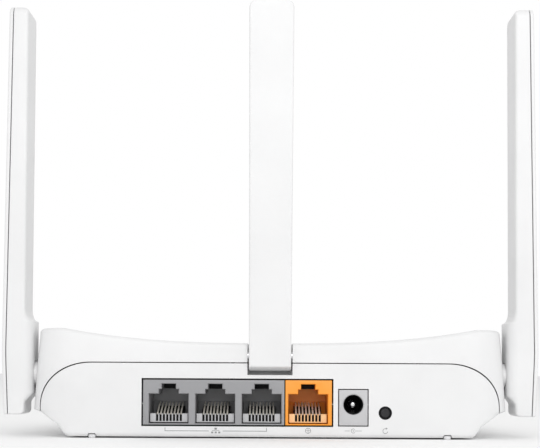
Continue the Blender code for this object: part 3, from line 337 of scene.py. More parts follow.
def combine(thing, tool, operation):
    """Boolean with a tool that isn't needed afterwards."""
    modifier = thing.modifiers.new("boolean", 'BOOLEAN')
    modifier.object = tool
    modifier.operation = operation
    modifier.solver = 'EXACT'
    bpy.context.view_layer.update()
    evaluated = thing.evaluated_get(bpy.context.evaluated_depsgraph_get())
    mesh = bpy.data.meshes.new_from_object(evaluated)
    thing.modifiers.clear()
    old = thing.data
    mesh.name = old.name
    thing.data = mesh
    bpy.data.meshes.remove(old)


def cut(thing, *tools):
    for tool in tools:
        combine(thing, tool, 'DIFFERENCE')
        discard(tool)


def unite(thing, *tools):
    for tool in tools:
        combine(thing, tool, 'UNION')
        discard(tool)


def discard(*things):
    for thing in things:
        bpy.data.objects.remove(thing, do_unlink=True)


def finish_piece(thing, slot, body, *nodes):
    thing.data.shade_smooth()
    thing.data.set_sharp_from_angle(angle=math.radians(32))
    settle(thing, slot, body, *nodes)


def settle(thing, slot, body, *nodes):
    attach(thing, body)
    if nodes:
        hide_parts(*nodes)


def soften(thing, width):
    modifier = thing.modifiers.new("soft_edges", 'BEVEL')
    modifier.width = width
    modifier.segments = 2
    modifier.limit_method = 'ANGLE'
    modifier.angle_limit = math.radians(40)
    modifier.harden_normals = False


def block(name, low, high, material=None, bevel=0.0, segments=2):
    size = Vector(high) - Vector(low)
    bm = bmesh.new()
    matrix = Matrix.Translation((Vector(high) + Vector(low)) / 2) @ Matrix.Diagonal((*size, 1.0))
    bmesh.ops.create_cube(bm, size=1.0, matrix=matrix)
    if bevel:
        bmesh.ops.bevel(bm, geom=bm.edges[:], offset=bevel, segments=segments, affect='EDGES', profile=0.5)
    return as_object(name, bm, material or WHITE)


def rod(name, start, length, radius, axis):
    turns = {
        'X': Matrix.Rotation(math.pi / 2, 4, 'Y'),
        'Y': Matrix.Rotation(-math.pi / 2, 4, 'X'),
        'Z': Matrix.Identity(4),
    }
    bm = bmesh.new()
    matrix = Matrix.Translation(start) @ turns[axis] @ Matrix.Translation((0, 0, length / 2))
    bmesh.ops.create_cone(bm, cap_ends=True, segments=48, radius1=radius, radius2=radius,
                          depth=length, matrix=matrix)
    return as_object(name, bm, WHITE)


def outline_prism(name, points, low, high, plane, material=None):
    """Closed outline pushed from low to high: plane XZ along Y, YZ along X."""
    bm = bmesh.new()
    if plane == 'XZ':
        corners = [bm.verts.new((u, low, v)) for u, v in points]
        step = Vector((0, high - low, 0))
    else:
        corners = [bm.verts.new((low, u, v)) for u, v in points]
        step = Vector((high - low, 0, 0))
    face = bm.faces.new(corners)
    grown = bmesh.ops.extrude_face_region(bm, geom=[face], use_keep_orig=True)
    moved = [item for item in grown["geom"] if isinstance(item, bmesh.types.BMVert)]
    bmesh.ops.translate(bm, verts=moved, vec=step)
    return as_object(name, bm, material or WHITE)


def turned_row(bm, radius, height, sides):
    angles = [2 * math.pi * i / sides for i in range(sides)]
    return [bm.verts.new((radius * math.cos(a), radius * math.sin(a), height)) for a in angles]


def lathe(name, profile, matrix, material):
    """Turn (radius, height) pairs about the matrix's Z axis. Both ends lie on the axis."""
    bm = bmesh.new()
    sides = 48
    rows = []
    for radius, height in profile:
        if radius == 0.0:
            rows.append([bm.verts.new((0, 0, height))])
        else:
            rows.append(turned_row(bm, radius, height, sides))
    for upper, lower in zip(rows, rows[1:]):
        for i in range(sides):
            j = (i + 1) % sides
            above, below = len(upper), len(lower)
            corners = (upper[i % above], upper[j % above], lower[j % below], lower[i % below])
            bm.faces.new(list(dict.fromkeys(corners)))
    bm.transform(matrix)
    return as_object(name, bm, material)


def hollow_lathe(name, profile, matrix, material):
    """Turn a closed outline of (radius, height) pairs that stays off the axis."""
    bm = bmesh.new()
    sides = 56
    rows = [turned_row(bm, radius, height, sides) for radius, height in profile]
    rows.append(rows[0])
    for upper, lower in zip(rows, rows[1:]):
        for i in range(sides):
            j = (i + 1) % sides
            bm.faces.new((upper[i], upper[j], lower[j], lower[i]))
    bm.transform(matrix)
    return as_object(name, bm, material)


def ring_loft(name, rings, material):
    """Closed skin over rings of points, which all have the same number."""
    bm = bmesh.new()
    rows = [[bm.verts.new(point) for point in ring] for ring in rings]
    for lower, upper in zip(rows, rows[1:]):
        count = len(lower)
        for i in range(count):
            j = (i + 1) % count
            bm.faces.new((lower[i], lower[j], upper[j], upper[i]))
    bm.faces.new(rows[0])
    bm.faces.new(rows[-1])
    return as_object(name, bm, material)


def arc(center, radius, start, end, count):
    return oval_arc(center, radius, radius, start, end, count)


def oval_arc(center, across, upright, start, end, count):
    angles = [math.radians(start + (end - start) * i / count) for i in range(count + 1)]
    return [(center[0] + across * math.cos(a), center[1] + upright * math.sin(a)) for a in angles]


def curve_piece(name, runs, radius, material):
    """Round wires through lists of points, all in one curve."""
    curve = bpy.data.curves.new(name, 'CURVE')
    curve.dimensions = '3D'
    curve.bevel_depth = radius
    curve.bevel_resolution = 3
    curve.use_fill_caps = True
    for run in runs:
        spline = curve.splines.new('POLY')
        spline.points.add(len(run) - 1)
        for knot, place in zip(spline.points, run):
            knot.co = (*place, 1.0)
        spline.use_smooth = True
    curve.materials.append(material)
    thing = bpy.data.objects.new(name, curve)
    bpy.context.scene.collection.objects.link(thing)
    return thing


# ---------------- housing

def top_height(x, y):
    """Height of the cover: dished across the rear and falling towards the front."""
    rear = REAR_TOP + SIDE_RISE * min(abs(x) / SIDE_RISE_AT, 1.0) ** RISE_POWER
    forward = min(max((y - REAR_Y) / DEPTH, 0.0), 1.0)
    return FRONT_TOP + (rear - FRONT_TOP) * (1.0 - forward ** FALL_POWER)


def plan_outline(side_inset, rear_inset, front_inset, rear_span, rear_depth, front_radius, fine):
    half = HALF_WIDTH - side_inset
    rear = REAR_Y + rear_inset
    front = FRONT_Y - front_inset
    count = 6 * fine
    corners = (
        oval_arc((half - rear_span, rear + rear_depth), rear_span, rear_depth, -90, 0, count),
        arc((half - front_radius, front - front_radius), front_radius, 0, 90, count),
        arc((-half + front_radius, front - front_radius), front_radius, 90, 180, count),
        oval_arc((-half + rear_span, rear + rear_depth), rear_span, rear_depth, 180, 270, count),
    )
    points = []
    for index, corner in enumerate(corners):
        following = corners[(index + 1) % 4][0]
        points += corner
        edge_count = fine * (10 if index % 2 else 4)
        for i in range(1, edge_count):
            share = i / edge_count
            points.append((corner[-1][0] + (following[0] - corner[-1][0]) * share,
                           corner[-1][1] + (following[1] - corner[-1][1]) * share))
    return points


def rounded_sections():
    """The lower sections, with each inner kink eased by a short curve."""
    reach = 0.3
    steps = 4
    sections = [LOWER_SECTIONS[0]]
    for before, here, after in zip(LOWER_SECTIONS, LOWER_SECTIONS[1:], LOWER_SECTIONS[2:]):
        enter = [h + (b - h) * reach for h, b in zip(here, before)]
        leave = [h + (a - h) * reach for h, a in zip(here, after)]
        for i in range(steps + 1):
            t = i / steps
            sections.append(tuple((1 - t) ** 2 * e + 2 * t * (1 - t) * h + t * t * o
                                  for e, h, o in zip(enter, here, leave)))
    sections.append(LOWER_SECTIONS[-1])
    return sections


def case_rings(inset, fine):
    """Sections of the whole case from the underside up, drawn in by the inset."""
    rings = []
    for height, side, rear, front in rounded_sections():
        lift = inset if height <= UNDERSIDE else inset * LIFT_SHARE
        narrowing = side * CORNER_NARROWING + inset
        plan = plan_outline(side + inset, rear + inset, front + inset, max(REAR_CORNER_SPAN - narrowing, MM),
                            max(REAR_CORNER_DEPTH - narrowing, MM), FRONT_CORNER - front - inset, fine)
        rings.append([(x, y, height + lift) for x, y in plan])
    edge = max(TOP_EDGE - inset, LEAST_EDGE)
    base = WIDEST + inset * LIFT_SHARE
    steps = 3 * fine
    for i in range(1, steps + 1):
        rings.append(upper_ring(inset, 0.0, base, edge, i / steps, fine))
    turns = 3 * fine
    for i in range(1, turns + 1):
        turn = math.radians(90 * i / turns)
        inward = edge * (1 - math.cos(turn))
        rings.append(upper_ring(inset, inward, base, edge * (1 - math.sin(turn)), 1.0, fine))
    rim = rings[-1]
    count = 5 * fine
    for i in range(1, count):
        scale = 1 - i / count
        inner = [(x * scale, y * scale) for x, y, _ in rim]
        rings.append([(x, y, top_height(x, y) - inset) for x, y in inner])
    return rings


def upper_ring(inset, inward, base, drop, share, fine):
    """A section at a share of the way from the widest part up to the drop below the cover's top."""
    rough = plan_outline(inset, inset, inset, REAR_CORNER_SPAN - inset, REAR_CORNER_DEPTH - inset,
                         FRONT_CORNER - inset, fine)
    middle = (REAR_Y + FRONT_Y) / 2
    half = HALF_WIDTH - inset
    ring = []
    for x, y in rough:
        top = top_height(x, y) - inset - drop
        height = base + (top - base) * share
        side = SIDE_LEAN * (height - WIDEST)
        rear = REAR_LEAN * max(height - REAR_SEAM, 0.0)
        rear_part = max((middle - y) / (middle - REAR_Y), 0.0)
        front_part = max((y - middle) / (FRONT_Y - middle), 0.0)
        shifted = y + (rear + inward) * rear_part - (side + inward) * front_part
        ring.append((x * (half - side - inward) / half, shifted, height))
    return ring


def hollow_case(name):
    """The whole case as one hollow form, which the seam divides."""
    case = ring_loft(name, case_rings(0.0, 4), WHITE)
    cut(case, ring_loft("cavity", case_rings(WALL, 2), WHITE))
    pivot = PIVOT["rear_antenna"]
    low = pivot.z - POCKET_RADIUS - POCKET_WALL
    front = pivot.y + POCKET_RADIUS + POCKET_WALL
    unite(case, block("pocket_walls", (-POCKET_HALF - CHEEK, REAR_Y + WALL / 2, low),
                      (POCKET_HALF + CHEEK, front, REAR_TOP - WALL / 2)))
    return case


def pocket_space():
    """Space that the barrel turns in: round underneath, open above and behind."""
    pivot = PIVOT["rear_antenna"]
    points = arc((pivot.y, pivot.z), POCKET_RADIUS, 270, 360, 12)
    points += [(pivot.y + POCKET_RADIUS, REAR_TOP + 10 * MM), (REAR_Y - 4 * MM, REAR_TOP + 10 * MM),
               (REAR_Y - 4 * MM, pivot.z - POCKET_RADIUS)]
    return outline_prism("pocket_space", points, -POCKET_HALF, POCKET_HALF, 'YZ')


def seam_region(name, grow):
    """What lies below the seam: the arched rear panel, the floor and the support of the pocket."""
    half = HALF_WIDTH - SEAM_END_INSET + grow
    top = REAR_SEAM + grow
    low = SIDE_SEAM + grow
    shoulder = []
    steps = 24
    for i in range(steps + 1):
        angle = math.radians(90 * i / steps)
        drop = ARCH_HEIGHT * (1 - math.cos(angle))
        shoulder.append((half - ARCH_WIDTH + ARCH_WIDTH * math.sin(angle), top - drop))
    right = shoulder + [(half, -CUT_PAST)]
    left = [(-x, z) for x, z in reversed(right)]
    region = outline_prism(name, left + right, REAR_Y - 10 * MM, REAR_Y + SEAM_WRAP + grow, 'XZ')
    far = HALF_WIDTH + 10 * MM
    pivot = PIVOT["rear_antenna"]
    unite(region, block("below", (-far, REAR_Y - 12 * MM, -2 * CUT_PAST), (far, FRONT_Y + 10 * MM, low)))
    side = POCKET_HALF + CHEEK + GAP + grow
    reach = POCKET_RADIUS + POCKET_WALL + GAP
    unite(region, block("under_pocket", (-side, REAR_Y - 5 * MM, pivot.z - reach),
                        (side, pivot.y + reach + grow, top)))
    return region


def build_bottom_case():
    case = hollow_case("bottom_case_shell")
    region = seam_region("below_seam", 0.0)
    combine(case, region, 'INTERSECT')
    discard(region)
    cut(case, pocket_space())
    cut(case, block("sockets_opening", (LAN_LOW.x - PANEL_GAP, REAR_Y - CUT_PAST, LAN_LOW.z - PANEL_GAP),
                    (WAN_HIGH.x + PANEL_GAP, REAR_Y + WALL + CUT_PAST, LAN_HIGH.z + PANEL_GAP)))
    cut(case, block("power_opening", (POWER_LOW.x - GAP, REAR_Y - CUT_PAST, POWER_LOW.z - GAP),
                    (POWER_HIGH.x + GAP, REAR_Y + WALL + CUT_PAST, POWER_HIGH.z + GAP)))
    button = (BUTTON_LOW + BUTTON_HIGH) / 2
    cut(case, rod("reset_opening", (button.x, REAR_Y - CUT_PAST, button.z), WALL + 2 * CUT_PAST,
                  RESET_HOLE_RADIUS, 'Y'))
    for index in range(1, 5):
        low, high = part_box(f"foot_{index}")
        middle = (low + high) / 2
        cut(case, rod("foot_seat", (middle.x, middle.y, -CUT_PAST), CUT_PAST + high.z + GAP,
                      (high.x - low.x) / 2 + GAP, 'Z'))
        low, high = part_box(f"case_screw_{index}")
        middle = (low + high) / 2
        cut(case, rod("screw_seat", (middle.x, middle.y, -CUT_PAST), CUT_PAST + SCREW_HEAD_DEPTH,
                      SCREW_HEAD_RADIUS, 'Z'))
        cut(case, rod("screw_way", (middle.x, middle.y, 0.0), SCREW_WAY_DEPTH, SCREW_WAY_RADIUS, 'Z'))
    vent_start = REAR_Y + VENT_FORWARD
    for side in (-1, 1):
        for index in range(VENTS_EACH_SIDE):
            x = side * VENT_PITCH * (index + 1)
            low = (x - VENT_WIDTH / 2, vent_start, -CUT_PAST)
            high = (x + VENT_WIDTH / 2, vent_start + VENT_LENGTH, VENT_TOP)
            cut(case, block("vent", low, high, bevel=0.7 * MM, segments=3))
    # The case's material carries painted shade on the walls of the sockets' opening
    case.data.materials.clear()
    case.data.materials.append(CASE_WHITE_PAINTED_SHADE)
    finish_piece(case, "housing_white", "housing", "bottom_case")


def build_top_cover():
    cover = hollow_case("top_cover_shell")
    for index in range(1, 5):
        low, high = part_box(f"case_screw_{index}")
        middle = (low + high) / 2
        top = top_height(middle.x, middle.y) - WALL / 2
        unite(cover, rod("boss", (middle.x, middle.y, BOSS_START), top - BOSS_START, BOSS_RADIUS, 'Z'))
    for side in (-1, 1):
        pivot = PIVOT["right_antenna" if side > 0 else "left_antenna"]
        reach = side * (HALF_WIDTH - WALL)
        inner = pivot.x - side * BEARING_DEPTH
        start = min(reach, inner)
        unite(cover, rod("bearing", (start, pivot.y, pivot.z), abs(reach - inner), BEARING_RADIUS, 'X'))
    cut(cover, seam_region("above_seam", GAP))
    cut(cover, pocket_space())
    for index in range(1, 5):
        low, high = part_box(f"case_screw_{index}")
        middle = (low + high) / 2
        cut(cover, rod("boss_bore", (middle.x, middle.y, 2 * MM), high.z + GAP - 2 * MM,
                       SCREW_WAY_RADIUS, 'Z'))
    for side in (-1, 1):
        pivot = PIVOT["right_antenna" if side > 0 else "left_antenna"]
        start = min(pivot.x - side * 20 * MM, pivot.x + side * 10 * MM)
        cut(cover, rod("side_bore", (start, pivot.y, pivot.z), 30 * MM, SIDE_BORE_RADIUS, 'X'))
    pivot = PIVOT["rear_antenna"]
    span = POCKET_HALF + CHEEK + CUT_PAST
    cut(cover, rod("cheek_bore", (-span, pivot.y, pivot.z), 2 * span, PIN_BORE_RADIUS, 'X'))
    low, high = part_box("light_pipe")
    middle = (low + high) / 2
    cut(cover, rod("indicator_opening", (middle.x, middle.y, 4 * MM), 40 * MM, LIGHT_HOLE_RADIUS, 'Z'))
    finish_piece(cover, "housing_white", "housing", "top_cover")


# ---------------- antennas

def rounded_section(x_low, x_high, half, round_low, round_high, z):
    """Cross-section of a blade with its own corner radius on each of its two faces."""
    points = []
    corners = (
        (x_high, -half, round_high, -90), (x_high, half, round_high, 0),
        (x_low, half, round_low, 90), (x_low, -half, round_low, 180),
    )
    for x, y, radius, start in corners:
        radius = max(min(radius, abs(half) * 0.9, (x_high - x_low) * 0.48), 0.02 * MM)
        center = (x - math.copysign(radius, 1 if x == x_high else -1), y - math.copysign(radius, y))
        points += [(u, v, z) for u, v in arc(center, radius, start, start + 90, 6)]
    return points


def blade_levels(low, high, knees):
    """Heights for the sections: close together at both ends and round the hub's curves."""
    levels = {low + LOWER_ROUND * (1 - math.cos(math.radians(90 * i / 8))) for i in range(9)}
    levels |= {high - TOP_CORNER * (1 - math.sin(math.radians(90 * i / 16))) for i in range(17)}
    spans = [(low + LOWER_ROUND, high - TOP_CORNER, 40), *((*knee, 14) for knee in knees)]
    for start, end, steps in spans:
        levels |= {start + (end - start) * i / steps for i in range(steps + 1)}
    ordered = sorted(levels)
    least_step = 0.02 * MM
    kept = [ordered[0]]
    for level in ordered[1:]:
        if level - kept[-1] > least_step:
            kept.append(level)
    return kept


def half_width(z, low, high):
    """Half of the blade's width, with the upper corners rounded and the lower edge eased."""
    width = (ANTENNA_WIDTH + (ANTENNA_TOP_WIDTH - ANTENNA_WIDTH) * (z - low) / (high - low)) / 2
    above = z - (high - TOP_CORNER)
    if above > 0:
        width -= TOP_CORNER - math.sqrt(max(TOP_CORNER ** 2 - above ** 2, 0.0))
    below = (low + LOWER_EDGE) - z
    if below > 0:
        width -= LOWER_EDGE - math.sqrt(max(LOWER_EDGE ** 2 - below ** 2, 0.0))
    return width


def eased(z, edge, radius, sign):
    """How far a face draws back near an end, where its edge is rounded."""
    past = (z - edge) * sign + radius
    if past <= 0:
        return 0.0
    return radius - math.sqrt(max(radius ** 2 - min(past, radius) ** 2, 0.0))


def smooth_step(value):
    value = min(max(value, 0.0), 1.0)
    return value * value * (3 - 2 * value)


def side_inner_face(z, low, high):
    """Inner face of a side antenna: stub, hub, flare and blade."""
    hub_low, hub_high = SIDE_HUB
    if z < hub_low:
        face = SIDE_BLADE_INNER * smooth_step((hub_low - z) / SIDE_STUB_FLARE) ** 0.8
    elif z < hub_high:
        face = 0.0
    else:
        face = SIDE_BLADE_INNER * (1 - max(1 - (z - hub_high) / SIDE_HUB_FLARE, 0.0) ** 2) ** 0.5
    return face + eased(z, low, 1.4 * MM, -1) + eased(z, high, 2.0 * MM, 1)


def rear_inner_face(z, low, high):
    """Inner face of the rear antenna: barrel round the pivot, then the blade."""
    radius = -low
    if z < 0:
        face = -math.sqrt(max(radius ** 2 - z ** 2, 0.0))
    else:
        face = -radius + (REAR_BLADE_INNER + radius) * smooth_step(z / REAR_FLARE)
    return face + eased(z, high, 1.6 * MM, 1)


def along_face(face, z):
    """Distance out at a height on a face given as points from the bottom up."""
    for (u0, v0), (u1, v1) in zip(face, face[1:]):
        if z <= v1:
            return u0 + (u1 - u0) * (z - v0) / (v1 - v0)
    return face[-1][0]


def side_outer_face(z, low, high):
    return along_face(SIDE_FACE, z) - eased(z, high, OUTER_EDGE, 1) - eased(z, low, OUTER_EDGE, -1)


def rear_outer_face(z, low, high):
    """Flat down to the heel below the pivot, then round its edge and in to the barrel."""
    turn = REAR_HEEL - REAR_HEEL_EDGE * math.sin(math.radians(60))
    flat = REAR_FACE[0][0]
    if z < turn:
        return (flat - REAR_HEEL_EDGE / 2) * max((z - low) / (turn - low), 0.0)
    if z < REAR_HEEL:
        return flat - REAR_HEEL_EDGE + math.sqrt(REAR_HEEL_EDGE ** 2 - (REAR_HEEL - z) ** 2)
    return along_face(REAR_FACE, z) - eased(z, high, OUTER_EDGE, 1)


def build_antenna(body, turn, face, inner_face, outer_face, knees, soft_hub, channel, bore):
    """Two shells round a channel, in the local frame of the pivot, then turned into place.

    Soft_hub is how much rounder the inner edges are where the inner face stands furthest in.
    """
    low, high = face[0][1], face[-1][1]
    blade = inner_face((low + high) / 2, low, high)
    inner_rings = []
    outer_rings = []
    for z in blade_levels(low, high, knees):
        part = along_face(face, z) - LID_DEPTH
        x_in = inner_face(z, low, high)
        x_out = outer_face(z, low, high)
        half = max(half_width(z, low, high), 0.6 * MM)
        if x_out > part + SEAM_EDGE:
            outer_rings.append(rounded_section(part, x_out, half, SEAM_EDGE, 0.75 * MM, z))
        inner_out = min(part - GAP, x_out)
        if inner_out > x_in + 0.1 * MM:
            softness = 0.9 * MM + soft_hub * min(max((blade - x_in) / SIDE_BLADE_INNER, 0.0), 1.0)
            inner_rings.append(rounded_section(x_in, inner_out, half, softness, SEAM_EDGE, z))
    shell = ring_loft(f"{body}_main_shell", inner_rings, WHITE)
    lid = ring_loft(f"{body}_lid", outer_rings, WHITE)
    side = ANTENNA_WIDTH / 2 - SHELL_THICKNESS
    inner, bottom = channel
    cut(shell, block("channel", (inner, -side, bottom),
                     (face[0][0] + 5 * MM, side, high - 2 * SHELL_THICKNESS)))
    cut(shell, bore)
    for piece, node in ((shell, f"{body}_inner_shell"), (lid, f"{body}_outer_shell")):
        piece.matrix_world = Matrix.Translation(PIVOT[body]) @ Matrix.Rotation(turn, 4, 'Z')
        finish_piece(piece, "housing_white", body, node)


def build_side_tube(body, side):
    """Hollow pivot, seen between the case and the hub."""
    low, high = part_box(f"{body}_pivot_tube")
    pivot = PIVOT[body]
    start = low.x if side > 0 else high.x
    length = high.x - low.x
    profile = [
        (TUBE_BORE, 0.0), (TUBE_RADIUS - TUBE_CHAMFER, 0.0), (TUBE_RADIUS, TUBE_CHAMFER),
        (TUBE_RADIUS, length - TUBE_CHAMFER), (TUBE_RADIUS - TUBE_CHAMFER, length), (TUBE_BORE, length),
    ]
    matrix = Matrix.Translation((start, pivot.y, pivot.z)) @ Matrix.Rotation(side * math.pi / 2, 4, 'Y')
    tube = hollow_lathe(f"{body}_hollow_pivot", profile, matrix, WHITE)
    settle(tube, "housing_white", body, f"{body}_pivot_tube")


def build_antennas():
    knees = ((-9.2 * MM, -5.6 * MM), (15.8 * MM, 20.2 * MM))
    for body, turn, side in (("right_antenna", 0.0, 1), ("left_antenna", math.pi, -1)):
        build_antenna(body, turn, SIDE_FACE, side_inner_face, side_outer_face, knees, 2.3 * MM,
                      (SIDE_BLADE_INNER + SHELL_THICKNESS, SIDE_FACE[0][1] + SHELL_THICKNESS),
                      rod("hub_bore", (-2 * MM, 0, 0), 8 * MM, SIDE_BORE_RADIUS, 'X'))
        build_side_tube(body, side)
    build_antenna("rear_antenna", -math.pi / 2, REAR_FACE, rear_inner_face, rear_outer_face,
                  ((-4.5 * MM, -2.7 * MM), (-2.7 * MM, 7 * MM)), 0.0,
                  (REAR_BLADE_INNER + SHELL_THICKNESS, -2 * SHELL_THICKNESS),
                  rod("barrel_bore", (0, -10 * MM, 0), 20 * MM, PIN_BORE_RADIUS, 'Y'))


# ---------------- sockets

SOCKET_FLOOR = LAN_LOW.z + 0.4 * MM
SOCKET_DEPTH = 14 * MM
# Width and height of the body space, the keying step and the latch space, from the bottom up
MOUTH_STEPS = ((11.9 * MM, 8.9 * MM), (6.0 * MM, 1.4 * MM), (4.3 * MM, 1.6 * MM))
MOUTH_TOP = SOCKET_FLOOR + sum(height for _, height in MOUTH_STEPS)
MOUTH_CHAMFER = 0.22 * MM
WIRES = 8
WIRE_PITCH = 1.02 * MM
WIRE_RADIUS = 0.25 * MM
# Millimetres in from the comb's front and up from the insert's floor
WIRE_PATH = ((1.3, 2.2), (1.5, 2.5), (2.0, 2.8), (6.0, 4.2), (10.6, 5.6), (11.4, 5.7))
COMB_START = 1.6 * MM
COMB_HALF = 5.65 * MM
COMB_HEIGHT = 2.6 * MM
COMB_DEPTH = 3.2 * MM
COMB_BASE = 0.3 * MM
COMB_SLOT_HALF = 0.35 * MM
BED_HALF = 4.2 * MM
BACK_HEIGHT = 5.9 * MM


def mouth_points(x, grow=0.0):
    right = []
    z = SOCKET_FLOOR - grow
    top = SOCKET_FLOOR
    for width, height in MOUTH_STEPS:
        top += height
        right.append((x + width / 2 + grow, z))
        z = top + grow
        right.append((x + width / 2 + grow, z))
    left = [(2 * x - u, v) for u, v in reversed(right)]
    return right + left


def mouth_tool(x):
    """The socket's space, with its outer edge chamfered."""
    plans = ((REAR_Y - CUT_PAST, MOUTH_CHAMFER), (REAR_Y - 0.01 * MM, MOUTH_CHAMFER),
             (REAR_Y + MOUTH_CHAMFER, 0.0), (REAR_Y + SOCKET_DEPTH, 0.0))
    rings = [[(u, y, v) for u, v in mouth_points(x, grow)] for y, grow in plans]
    return ring_loft("mouth", rings, BLACK)


def build_jack(name, low, high, centers, material, slot, node):
    jack = block(name, low, high, material, bevel=0.12 * MM)
    for x in centers:
        cut(jack, mouth_tool(x))
        cut(jack, block("latch_relief", (x - 2.15 * MM, REAR_Y + 1.2 * MM, MOUTH_TOP - 1.7 * MM),
                        (x + 2.15 * MM, REAR_Y + 12 * MM, MOUTH_TOP + 0.35 * MM)))
    finish_piece(jack, slot, "housing", node)


def build_contacts(index, x, material, comb_material, slot, node):
    """Slotted comb, sprung wires on their bed, the socket's back and the end of the latch space."""
    floor = SOCKET_FLOOR + GAP
    base = floor + COMB_BASE
    comb_top = floor + COMB_HEIGHT
    front = REAR_Y + COMB_START
    places = [x + WIRE_PITCH * (i - (WIRES - 1) / 2) for i in range(WIRES)]
    points = [(x - COMB_HALF, floor), (x - COMB_HALF, comb_top)]
    for place in places:
        left, right = place - COMB_SLOT_HALF, place + COMB_SLOT_HALF
        points += [(left, comb_top), (left, base), (right, base), (right, comb_top)]
    points += [(x + COMB_HALF, comb_top), (x + COMB_HALF, floor)]
    comb = outline_prism(f"socket_{index}_comb", points, front, front + COMB_DEPTH, 'XZ', comb_material)
    soften(comb, 0.07 * MM)
    runs = [[(place, front + along * MM, floor + up * MM) for along, up in WIRE_PATH] for place in places]
    wires = curve_piece(f"socket_{index}_wires", runs, WIRE_RADIUS, SPRING)
    rear = REAR_Y + SOCKET_DEPTH
    back = block(f"socket_{index}_back", (x - COMB_HALF, rear - 1.0 * MM, floor),
                 (x + COMB_HALF, rear - 0.3 * MM, floor + BACK_HEIGHT), material, bevel=0.1 * MM)
    bed_start, bed_end, bed_low = front + 1.2 * MM, front + 11 * MM, floor + 0.1 * MM
    bed = outline_prism(f"socket_{index}_wire_bed", [
        (bed_start, bed_low), (bed_start, comb_top - 0.35 * MM),
        (bed_end, floor + 4.6 * MM), (bed_end, bed_low),
    ], x - BED_HALF, x + BED_HALF, 'YZ', BLACK)
    stop = block(f"socket_{index}_latch_well", (x - 2.12 * MM, REAR_Y + 9 * MM, MOUTH_TOP - 1.58 * MM),
                 (x + 2.12 * MM, REAR_Y + 11.9 * MM, MOUTH_TOP + 0.32 * MM), BLACK, bevel=0.05 * MM)
    settle(bed, "component_black", "housing")
    settle(stop, "component_black", "housing")
    settle(comb, slot, "housing", node)
    settle(back, slot, "housing")
    settle(wires, "contact_gold", "housing")


def build_sockets():
    build_jack("lan_sockets", LAN_LOW, LAN_HIGH, SOCKET_X[:3], GREY, "socket_grey", "lan_jack_block")
    build_jack("wan_socket", WAN_LOW, WAN_HIGH, SOCKET_X[3:], ORANGE, "socket_orange", "wan_jack")
    for index, x in enumerate(SOCKET_X[:3], start=1):
        build_contacts(index, x, GREY, GREY_COMB, "socket_grey", f"lan_contact_insert_{index}")
    build_contacts(4, SOCKET_X[3], ORANGE, CREAM_COMB, "socket_orange", "wan_contact_insert")


# ---------------- power and reset

JACK_HOLE_RADIUS = 3 * MM
JACK_HOLE_DEPTH = 11.5 * MM
JACK_PIN_RADIUS = 1 * MM
SLEEVE_OUTER = JACK_HOLE_RADIUS - 0.02 * MM
SLEEVE_INNER = 2.8 * MM
# Millimetres in from the rear panel and up from the hole's lower side
LEAF_OUTLINE = ((2.6, 0.0), (4.4, 0.9), (5.4, 0.9), (9.0, 0.1), (9.0, -0.1), (5.3, 0.6), (4.5, 0.6),
                (2.8, -0.2))
BUTTON_RADIUS = 1.45 * MM
GUIDE_BORE = 1.6 * MM
GUIDE_RADIUS = 2.0 * MM
GUIDE_LENGTH = 4.4 * MM


def facing_rear(x, y, z):
    """Matrix whose +Z points out of the rear panel."""
    return Matrix.Translation((x, y, z)) @ Matrix.Rotation(math.pi / 2, 4, 'X')


def build_power_jack():
    center = (PIN_LOW + PIN_HIGH) / 2
    housing = block("power_jack_housing", POWER_LOW, POWER_HIGH, PALE, bevel=0.15 * MM)
    flare = JACK_HOLE_RADIUS + 0.25 * MM
    cut(housing, lathe("power_hole", [
        (0.0, 3 * MM), (flare, 3 * MM), (flare, 0.0), (JACK_HOLE_RADIUS, JACK_HOLE_RADIUS - flare),
        (JACK_HOLE_RADIUS, -JACK_HOLE_DEPTH), (0.0, -JACK_HOLE_DEPTH),
    ], facing_rear(center.x, REAR_Y, center.z), BLACK))
    leaf_low, leaf_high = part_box("dc_jack_leaf_contact")
    slot_low = leaf_low - Vector((GAP, GAP, GAP))
    slot_high = leaf_high + Vector((GAP, GAP, 2 * MM))
    cut(housing, block("leaf_slot", slot_low, slot_high))
    finish_piece(housing, "power_grey", "housing", "dc_jack_housing")
    length = PIN_HIGH.y - PIN_LOW.y
    pin = lathe("power_jack_centre_pin", [
        (0.0, 0.0), (0.45 * MM, -0.03 * MM), (0.8 * MM, -0.2 * MM), (0.97 * MM, -0.5 * MM),
        (JACK_PIN_RADIUS, -0.8 * MM), (JACK_PIN_RADIUS, -length), (0.0, -length),
    ], facing_rear(center.x, PIN_LOW.y, center.z), STEEL)
    settle(pin, "bright_steel", "housing", "dc_jack_pin")
    end = 0.2 * MM - JACK_HOLE_DEPTH
    sleeve = hollow_lathe("power_jack_sleeve", [
        (SLEEVE_OUTER, -0.5 * MM), (SLEEVE_OUTER, end), (1.1 * MM, end), (1.1 * MM, end + 0.3 * MM),
        (SLEEVE_INNER, end + 0.3 * MM), (SLEEVE_INNER, -0.6 * MM),
    ], facing_rear(center.x, REAR_Y, center.z), BLACK)
    settle(sleeve, "component_black", "housing")
    low = center.z - 2.75 * MM
    outline = [(REAR_Y + along * MM, low + up * MM) for along, up in LEAF_OUTLINE]
    half = 0.8 * MM
    spring = outline_prism("power_jack_spring", outline, center.x - half, center.x + half, 'YZ', STEEL)
    settle(spring, "bright_steel", "housing")


